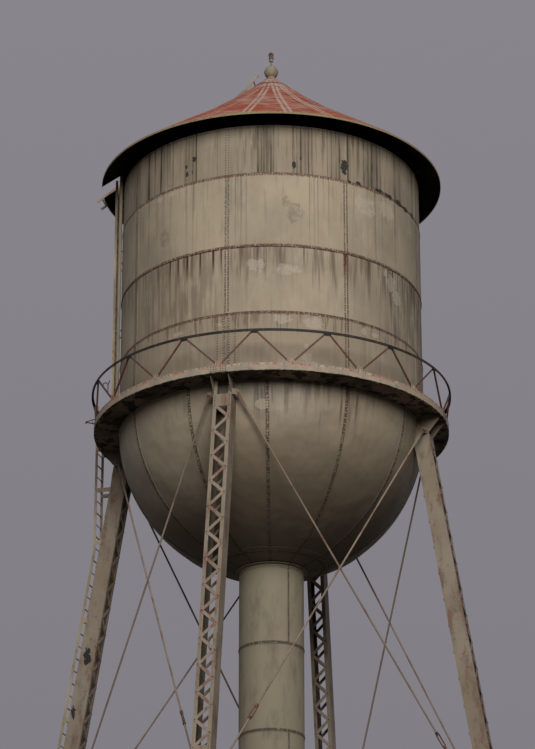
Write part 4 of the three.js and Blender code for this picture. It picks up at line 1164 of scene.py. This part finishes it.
def rail():
    """The leaning handrail: a flat bar on a zigzag of bars, with plates where they meet."""
    shape = Shape()
    bars = Shape()
    plates = Shape()
    top = SPRING + RAIL_TOP_Z
    shape.lathe((
        (RAIL_RADIUS - RAIL_WIDTH, top - PLATE), (RAIL_RADIUS - PLATE, top - PLATE),
        (RAIL_RADIUS - PLATE, top - RAIL_DEPTH), (RAIL_RADIUS, top - RAIL_DEPTH),
        (RAIL_RADIUS, top), (RAIL_RADIUS - RAIL_WIDTH, top),
    ))
    foot_z = SPRING + BALCONY_BOTTOM_Z + FASCIA_DEPTH
    foot_radius = BALCONY_RADIUS - 0.028
    head_radius = RAIL_RADIUS - 0.018
    bay = 360 / RAIL_BAYS
    for k in range(RAIL_BAYS):
        turn = k * bay
        for side in (-1, 1):
            foot = around(foot_radius, turn, foot_z, side * 0.01)
            head = around(head_radius, turn + side * bay / 2, top - 0.03, side * -0.02)
            out = around(1, turn + side * bay / 4, 0)
            bars.bar(foot, head, 0.044, 0.007, out)
            bars.bar(foot - out * 0.019, head - out * 0.019, 0.007, 0.036, out)
        plate = around(foot_radius + 0.006, turn, foot_z)
        plates.bar(plate, plate + lift(0.10), 0.16, 0.008, around(1, turn, 0))
        knee = around(head_radius + 0.004, turn + bay / 2, top - 0.03)
        shape.bar(knee, knee - lift(0.08), 0.14, 0.007, around(1, turn + bay / 2, 0))
        for across in (-0.045, 0.045):
            for up in (0.03, 0.075):
                place = around(foot_radius + 0.011, turn, foot_z + up, across)
                bars.rivet(place, around(1, turn, 0), 0.8)
    shape.piece("balcony_rail", "rail_steel", ("handrail",))
    bars.piece("rail_bars", "rail_bar_paint")
    plates.piece("rail_plates", "girder_paint")


def balcony_fittings():
    """A small bracket outside the balcony's edge and a hook beside the shell's ladder."""
    arm = Shape()
    out = around(1, BRACKET_TURN, 0)
    side = around(0, BRACKET_TURN, 0, 1)
    root = around(BALCONY_RADIUS + 0.001, BRACKET_TURN, SPRING + BALCONY_BOTTOM_Z)
    tip = root + out * BRACKET_REACH + lift(0.05)
    arm.bar(root + lift(0.025), tip, 0.05, BRACKET_THICK, lift(1))
    arm.bar(root + lift(0.155), tip + lift(0.012), 0.045, BRACKET_THICK, lift(1))
    strut = root + out * (BRACKET_REACH / 3)
    arm.bar(strut + lift(0.03), strut + lift(0.12), 0.04, BRACKET_THICK, out)
    arm.tube([tip - side * 0.05, tip + side * 0.05], 0.018, 10)
    arm.piece("edge_bracket", "rail_bar_paint")
    hook = Shape()
    base = around(HOOK_RADIUS, HOOK_TURN, SPRING + HOOK_Z)
    fork = base + lift(0.22)
    hook.tube([around(STILE_RADIUS, STILE_TURN, SPRING + HOOK_Z), base], HOOK_THICK)
    hook.tube([base, fork, base + lift(0.33) - out * 0.04], HOOK_THICK)
    curl = [base + lift(rise) + out * reach for rise, reach in ((0.27, 0.05), (0.24, 0.11), (0.16, 0.12))]
    hook.tube([fork, *curl], HOOK_THICK)
    hook.piece("rail_hook", "rail_bar_paint")


def riser_pipe():
    """The wide pipe in courses with strapped seams, its collar under the dish and its foot flange."""
    pipe = Shape()
    top = SPRING - RISER_TOP_DROP
    hole = math.asin((RISER_RADIUS + HOLE_GAP) / TANK_RADIUS)
    collar = SPRING - (TANK_RADIUS - GAP) * math.cos(hole) - GAP
    inside = RISER_RADIUS - 0.001
    sleeve = RISER_RADIUS + 0.012
    on_strap = RISER_RADIUS + STRAP_THICK
    pipe.ring(RISER_RADIUS - RISER_PLATE, RISER_RADIUS, 0.0, top, PIPE_ROUND)
    pipe.lathe((
        (inside, collar - 0.012), (inside, collar - 0.10), (sleeve, collar - 0.10), (sleeve, collar - 0.014),
        (COLLAR_RADIUS, collar - 0.012), (COLLAR_RADIUS, collar), (inside, collar),
    ), PIPE_ROUND)
    rivets = Shape()
    rivets.rivets(circle(sleeve, collar - 0.065))
    seams = []
    z = SPRING + RISER_SEAM_Z
    while z > 0.6:
        seams.append(z)
        z -= RISER_COURSE
    for z in seams:
        pipe.ring(inside, on_strap, z - 0.04, z + 0.04, PIPE_ROUND)
        rivets.rivets(circle(on_strap, z), 0.85)
    levels = [collar - 0.1, *seams, 0.03]
    for index, (high, low) in enumerate(zip(levels, levels[1:])):
        turn = RISER_SEAM_TURN if index % 2 == 0 else RISER_SEAM_TURN - 180
        wall_strap(pipe, RISER_RADIUS, turn, 0.07, low + 0.056, high - 0.056, STRAP_THICK)
        places = column(on_strap, turn, 0.0, low + 0.10, high - 0.10)
        rivets.rivets(places, 0.85)
    pipe.lathe((
        (inside, 0.0), (FOOT_RADIUS, 0.0), (FOOT_RADIUS, FOOT_THICK), (sleeve, FOOT_THICK + 0.002),
        (sleeve, 0.12), (inside, 0.12),
    ), PIPE_ROUND)
    for k in range(FOOT_BOLTS):
        place = around(FOOT_RADIUS - 0.07, 360 / FOOT_BOLTS * k, FOOT_THICK)
        pipe.nut(place, lift(1), 0.027, 0.022)
        pipe.tube([place, place + lift(0.045)], 0.012)
    pipe.piece("riser_pipe", "riser_paint", ("riser_upper", "riser_lower"))
    rivets.piece("riser_rivets", "rivet_paint", sharp=180)


def leg_along(z):
    return leg_radius(z) * math.sqrt(0.5)


def pin_rise(panel):
    """How far from a panel's level its rods cross the line of pins."""
    upper, lower = SPRING + PANEL_Z[panel], SPRING + PANEL_Z[panel + 1]
    return PIN_OFFSET * (upper - lower) / (leg_along(upper) + leg_along(lower))


def rod_pins(turn, panel, way):
    """The two pins of a tie rod and the direction of its pins' axes."""
    inset = PIN_OFFSET * math.sqrt(0.5)
    radial, sideways, drop = PIN_LUG
    upper = SPRING + PANEL_Z[panel] - pin_rise(panel)
    lower = SPRING + PANEL_Z[panel + 1] + pin_rise(panel)
    start_turn, end_turn = turn + 45 * way, turn - 45 * way
    if panel == 0:
        start = leg_point(start_turn, SPRING - drop, radial, -way * sideways)
    else:
        start = leg_point(start_turn, upper, -inset, -way * inset)
    end = leg_point(end_turn, lower, -inset, way * inset)
    if panel == 0:
        normal = lift(1).cross(end - start).normalized()
    else:
        normal = around(way, turn, way * LEG_BATTER * math.sqrt(0.5)).normalized()
    shift = LOWER_PIN_SHIFT if panel == 0 else 0
    return start + normal * ROD_BESIDE, end + normal * (ROD_BESIDE + shift), normal


def eye(shape, pin, along, normal, radius):
    """A bar's end bent round its pin, and the pin through it."""
    across = normal.cross(along).normalized()
    loop = [pin + along * EYE_REACH + across * 0.001]
    for k in range(13):
        a = math.radians(40 + 280 * k / 12)
        loop.append(pin + (along * math.cos(a) + across * math.sin(a)) * EYE_RADIUS)
    loop.append(pin + along * EYE_REACH - across * 0.001)
    shape.tube(loop, radius)
    shape.tube([pin - normal * 0.062, pin + normal * 0.034], PIN_RADIUS, 12)
    shape.nut(pin + normal * 0.030, normal, NUT_RADIUS, NUT_HEIGHT)
    shape.nut(pin - normal * (ROD_BESIDE + 0.030), normal, NUT_RADIUS, NUT_HEIGHT)


def tie_rods():
    """Round tie rods with looped ends and open turnbuckles, in pairs on each panel of each face."""
    sizes = tower_sizes()
    radius = sizes.rod_radius
    for name, turn in FACES.items():
        shape = Shape()
        buckles = Shape()
        nodes = []
        for panel in range(3):
            for letter, way in (("a", 1), ("b", -1)):
                nodes.append(f"rod_{name}_{panel + 1}{letter}")
                start, end, normal = rod_pins(turn, panel, way)
                along = (end - start).normalized()
                length = (end - start).length
                across = normal.cross(along).normalized()
                low = BUCKLE_PLACE * length
                high = low + BUCKLE_LENGTH
                eye(shape, start, along, normal, radius * 0.8)
                eye(shape, end, -along, normal, radius * 0.8)
                shape.tube([start + along * (EYE_REACH - 0.01), start + along * (low + 0.09)], radius, 10)
                shape.tube([start + along * (high - 0.09), end - along * (EYE_REACH - 0.01)], radius, 10)
                for place in (low + 0.03, high - 0.03):
                    middle = start + along * place
                    buckles.tube([middle - along * 0.032, middle + along * 0.032], radius * 1.7, 12)
                for side in (-1, 1):
                    offset = across * (side * BUCKLE_SPREAD)
                    stations = (
                        (low + 0.015, 0.55), (low + 0.075, 1), (high - 0.075, 1), (high - 0.015, 0.55),
                    )
                    path = [start + along * place + offset * share for place, share in stations]
                    buckles.tube(path, radius * 0.7)
        shape.piece(f"tie_rods_{name}", "rod_paint", nodes)
        buckles.piece(f"turnbuckles_{name}", "buckle_paint")


def lacing_runs():
    """Stretches of a leg between its battens, as (low, high) heights."""
    half = BATTEN_HEIGHT / 2 - 0.035
    return [(low + half, high - half) for high, low in zip(BATTEN_LEVELS, BATTEN_LEVELS[1:])]


def leg_details():
    """Lacing bars on both faces of each leg, their rivets and those of the battens, and the foot's bolts."""
    sizes = tower_sizes()
    gauge = LEG_WIDTH / 2 - 0.045
    for name, turn in LEG_TURNS.items():
        bars = Shape()
        heads = Shape()
        for face in (1, -1):
            shift = face * (LEG_DEPTH / 2 + 0.004)
            normal = around(face, turn, face * LEG_BATTER).normalized()
            for low, high in lacing_runs():
                count = max(1, round((high - low) / sizes.lacing_pitch))
                levels = steps(high, low, count + 1)
                for k, (before, after) in enumerate(zip(levels, levels[1:])):
                    side = -1 if k % 2 == 0 else 1
                    start = leg_point(turn, before, shift, side * gauge)
                    end = leg_point(turn, after, shift, -side * gauge)
                    reach = (end - start).normalized() * 0.03
                    clear = normal * (0.0035 if side > 0 else -0.0005)
                    bars.bar(start - reach + clear, end + reach + clear, sizes.lacing_width, 0.008, normal)
                    heads.rivets([(place + normal * 0.007, normal) for place in (start, end)])
            outwards = face * (LEG_DEPTH / 2 + BATTEN_THICK - 0.001)
            for level in BATTEN_LEVELS:
                for across in (-gauge, gauge):
                    for up in (-0.12, -0.06, 0.0, 0.06, 0.12):
                        place = leg_point(turn, level + up, outwards, across)
                        heads.rivet(place, normal)
        for along, across in ((-1, -1), (-1, 1), (1, -1), (1, 1)):
            place = around(leg_radius(0) + along * BOLT_REACH, turn, BASE_THICK, across * BOLT_REACH)
            heads.nut(place, lift(1), 0.042, 0.034)
            heads.tube([place, place + lift(0.085)], 0.021, 10)
        bars.piece(f"lacing_{name}", "lacing_paint")
        heads.piece(f"leg_rivets_{name}", "rivet_paint")


def strut_rivets():
    """Rivets that hold the struts' channels to the gussets and fillers."""
    heads = Shape()
    slope = LEG_BATTER * math.sqrt(0.5)
    for turn in FACES.values():
        out = around(1, turn, slope).normalized()
        for drop in PANEL_Z[1:3]:
            level = SPRING + drop
            half = leg_along(level) - STRUT_START
            up = lift(1) - out * out.z
            up.normalize()
            middle = around(leg_along(level), turn, level)
            side = around(0, turn, 0, 1)
            for face in (-1, 1):
                surface = middle + out * (face * (GUSSET_THICK / 2 + GAP + PLATE))
                for across in (half - 0.05, half - 0.11, half / 2, -half / 2, 0.11 - half, 0.05 - half):
                    for rise in (-0.05, 0.0, 0.05):
                        heads.rivet(surface + side * across + up * rise, out * face)
    heads.piece("strut_rivets", "rivet_paint", sharp=180)


def ladder_rungs():
    """The leg ladder's rungs between those that the frame has."""
    rungs = Shape()
    turn = LEG_TURNS["north"]
    top = SPRING + LADDER_TOP_Z
    stand = LEG_DEPTH / 2 + LADDER_STANDOFF
    bend = SPRING + (leg_radius(SPRING) + stand - LADDER_RADIUS) / LEG_BATTER
    path = [(LADDER_RADIUS, top), (LADDER_RADIUS, bend), (leg_radius(LADDER_FOOT) + stand, LADDER_FOOT)]
    travelled = 0.0
    wanted = 2 * RUNG_PITCH
    for (r0, z0), (r1, z1) in zip(path, path[1:]):
        length = math.hypot(r1 - r0, z1 - z0)
        while wanted < travelled + length:
            share = (wanted - travelled) / length
            r, z = r0 + (r1 - r0) * share, z0 + (z1 - z0) * share
            ends = [around(r, turn, z, side * LADDER_WIDTH / 2) for side in (-1, 1)]
            rungs.tube(ends, RUNG / 2)
            wanted += 2 * RUNG_PITCH
        travelled += length
    rungs.piece("ladder_rungs", "ladder_paint")


CAD_FINISHES = {
    "leg_ladder": "ladder_paint", "shell_ladder": "ladder_paint", "roof_ladder": "ladder_paint",
    "leg_": "leg_steel_paint", "strut_": "leg_steel_paint", "roof_frame": "soffit_steel",
    "overflow_pipe": "pipe_paint",
}


def paint_frame_nodes():
    """Gives each part of the frame that still shows its finish."""
    for node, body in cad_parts.items():
        start = next((start for start in CAD_FINISHES if node.startswith(start)), None)
        for place in body.material_slots if start else ():
            place.link = "OBJECT"
            place.material = tower_finish(CAD_FINISHES[start])


class WATERTOWER_OT_shell(bpy.types.Operator):
    """Build the tank's four courses of riveted plates"""

    bl_idname = "watertower.shell"
    bl_label = "Shell"

    def execute(self, context):
        shell_courses()
        return {"FINISHED"}


class WATERTOWER_OT_bowl(bpy.types.Operator):
    """Build the tank's round bottom with its straps and rivets"""

    bl_idname = "watertower.bowl"
    bl_label = "Bowl"

    def execute(self, context):
        bowl_plates()
        return {"FINISHED"}


class WATERTOWER_OT_roof(bpy.types.Operator):
    """Build the roof's sheets, its cap and ball"""

    bl_idname = "watertower.roof"
    bl_label = "Roof"

    def execute(self, context):
        roof_sheets()
        return {"FINISHED"}


class WATERTOWER_OT_lamp(bpy.types.Operator):
    """Build the lamp on top"""

    bl_idname = "watertower.lamp"
    bl_label = "Lamp"

    def execute(self, context):
        lamp_body()
        return {"FINISHED"}


class WATERTOWER_OT_balcony(bpy.types.Operator):
    """Build the balcony's floor and the channel round its edge"""

    bl_idname = "watertower.balcony"
    bl_label = "Balcony"

    def execute(self, context):
        balcony_ring()
        return {"FINISHED"}


class WATERTOWER_OT_rail(bpy.types.Operator):
    """Build the balcony's zigzag handrail"""

    bl_idname = "watertower.rail"
    bl_label = "Handrail"

    def execute(self, context):
        rail()
        balcony_fittings()
        return {"FINISHED"}


class WATERTOWER_OT_riser(bpy.types.Operator):
    """Build the riser pipe with its seams, collar and foot"""

    bl_idname = "watertower.riser"
    bl_label = "Riser pipe"

    def execute(self, context):
        riser_pipe()
        return {"FINISHED"}


class WATERTOWER_OT_rods(bpy.types.Operator):
    """Build the tie rods with their eyes and turnbuckles"""

    bl_idname = "watertower.rods"
    bl_label = "Tie rods"

    def execute(self, context):
        tie_rods()
        return {"FINISHED"}


class WATERTOWER_OT_lacing(bpy.types.Operator):
    """Build the legs' lacing bars, rivets and bolts"""

    bl_idname = "watertower.lacing"
    bl_label = "Leg lacing"

    def execute(self, context):
        leg_details()
        strut_rivets()
        return {"FINISHED"}


class WATERTOWER_OT_ladder(bpy.types.Operator):
    """Build the leg ladder's closer rungs"""

    bl_idname = "watertower.ladder"
    bl_label = "Ladder rungs"

    def execute(self, context):
        ladder_rungs()
        return {"FINISHED"}


class WATERTOWER_OT_paint(bpy.types.Operator):
    """Give the legs, struts, ladders and overflow pipe their finishes"""

    bl_idname = "watertower.paint"
    bl_label = "Paint the frame"

    def execute(self, context):
        paint_frame_nodes()
        return {"FINISHED"}


def stage_floor():
    """A round pale floor under the tower."""
    floor = Shape()
    floor.ring(0.001, FLOOR_RADIUS, -0.03, -0.002, PIPE_ROUND)
    mesh = bpy.data.meshes.new("stage_floor")
    mesh.from_pydata(floor.points, [], floor.faces)
    made = bpy.data.objects.new("stage_floor", mesh)
    bpy.context.scene.collection.objects.link(made)
    f = Finish("stage_floor_paint")
    cloth = f.noise(0.8, 4)
    f.colour = f.blend(cloth * 0.3, tint(196, 194, 190), tint(178, 176, 172))
    mesh.materials.append(f.finished(0.9, cloth, 0.001))


def stage_light():
    """One large soft lamp on the camera's side, aimed at the tank."""
    lamp = bpy.data.lights.new("key_light", "AREA")
    lamp.shape = "DISK"
    lamp.size = KEY_SIZE
    lamp.energy = KEY_POWER
    lamp.color = KEY_WARMTH
    made = bpy.data.objects.new("key_light", lamp)
    made.location = around(KEY_DISTANCE, CAMERA_TURN + KEY_TURN, KEY_HEIGHT)
    aim = lift(SPRING) - made.location
    made.rotation_euler = aim.to_track_quat("-Z", "Y").to_euler()
    bpy.context.scene.collection.objects.link(made)


def stage_camera():
    """The camera, as the photograph was taken."""
    data = bpy.data.cameras.new("camera")
    data.lens = CAMERA_LENS
    data.sensor_width = SENSOR_WIDTH
    data.clip_end = CAMERA_CLIP
    camera = bpy.data.objects.new("camera", data)
    camera.location = around(CAMERA_DISTANCE, CAMERA_TURN, CAMERA_Z)
    heading = CAMERA_TURN + 180 + CAMERA_LEFT
    camera.rotation_euler = (math.radians(90 + CAMERA_PITCH), 0.0, math.radians(heading - 90))
    bpy.context.scene.collection.objects.link(camera)
    bpy.context.scene.camera = camera


def stage_world():
    """Plain grey surroundings, darker below."""
    world = bpy.data.worlds.new("surroundings")
    bpy.context.scene.world = world
    sky = Nodes(world)
    place = sky.node("ShaderNodeTexCoord", {}, (), "Generated")
    height = sky.node("ShaderNodeSeparateXYZ", {}, (place,), "Z")
    stops = [(level, tint(*colour)) for level, colour in SKY_COLOURS]
    ramp = sky.node("ShaderNodeValToRGB", {"stops": stops}, (height,))
    back = sky.node("ShaderNodeBackground", {}, {"Color": ramp, "Strength": 1.0})
    sky.node("ShaderNodeOutputWorld", {}, {"Surface": back})


class WATERTOWER_OT_stage(bpy.types.Operator):
    """Set the floor, the light and the camera"""

    bl_idname = "watertower.stage"
    bl_label = "Stage"

    def execute(self, context):
        stage_floor()
        stage_light()
        stage_world()
        stage_camera()
        context.scene.view_settings.view_transform = "Standard"
        return {"FINISHED"}


BUILDERS = (
    WATERTOWER_OT_shell, WATERTOWER_OT_bowl, WATERTOWER_OT_roof, WATERTOWER_OT_lamp, WATERTOWER_OT_balcony,
    WATERTOWER_OT_rail, WATERTOWER_OT_riser, WATERTOWER_OT_rods, WATERTOWER_OT_lacing, WATERTOWER_OT_ladder,
    WATERTOWER_OT_paint, WATERTOWER_OT_stage,
)


class WATERTOWER_PT_panel(bpy.types.Panel):
    """Lists the tower's pieces and settings"""

    bl_idname = "WATERTOWER_PT_panel"
    bl_label = "Water Tower"
    bl_space_type = "VIEW_3D"
    bl_region_type = "UI"
    bl_category = "Water Tower"

    def draw(self, context):
        for builder in BUILDERS:
            self.layout.operator(builder.bl_idname)
        for group in (context.scene.tower_sizes, context.scene.tower_colours):
            box = self.layout.box()
            for name in type(group).__annotations__:
                box.prop(group, name)


CLASSES = (TowerColours, TowerSizes, *BUILDERS, WATERTOWER_PT_panel)


def register():
    for kind in CLASSES:
        bpy.utils.register_class(kind)
    bpy.types.Scene.tower_colours = bpy.props.PointerProperty(type=TowerColours)
    bpy.types.Scene.tower_sizes = bpy.props.PointerProperty(type=TowerSizes)


def unregister():
    del bpy.types.Scene.tower_sizes
    del bpy.types.Scene.tower_colours
    for kind in reversed(CLASSES):
        bpy.utils.unregister_class(kind)


def main():
    register()
    for builder in BUILDERS:
        group, name = builder.bl_idname.split(".")
        getattr(getattr(bpy.ops, group), name)()


if __name__ == "__main__":
    main()
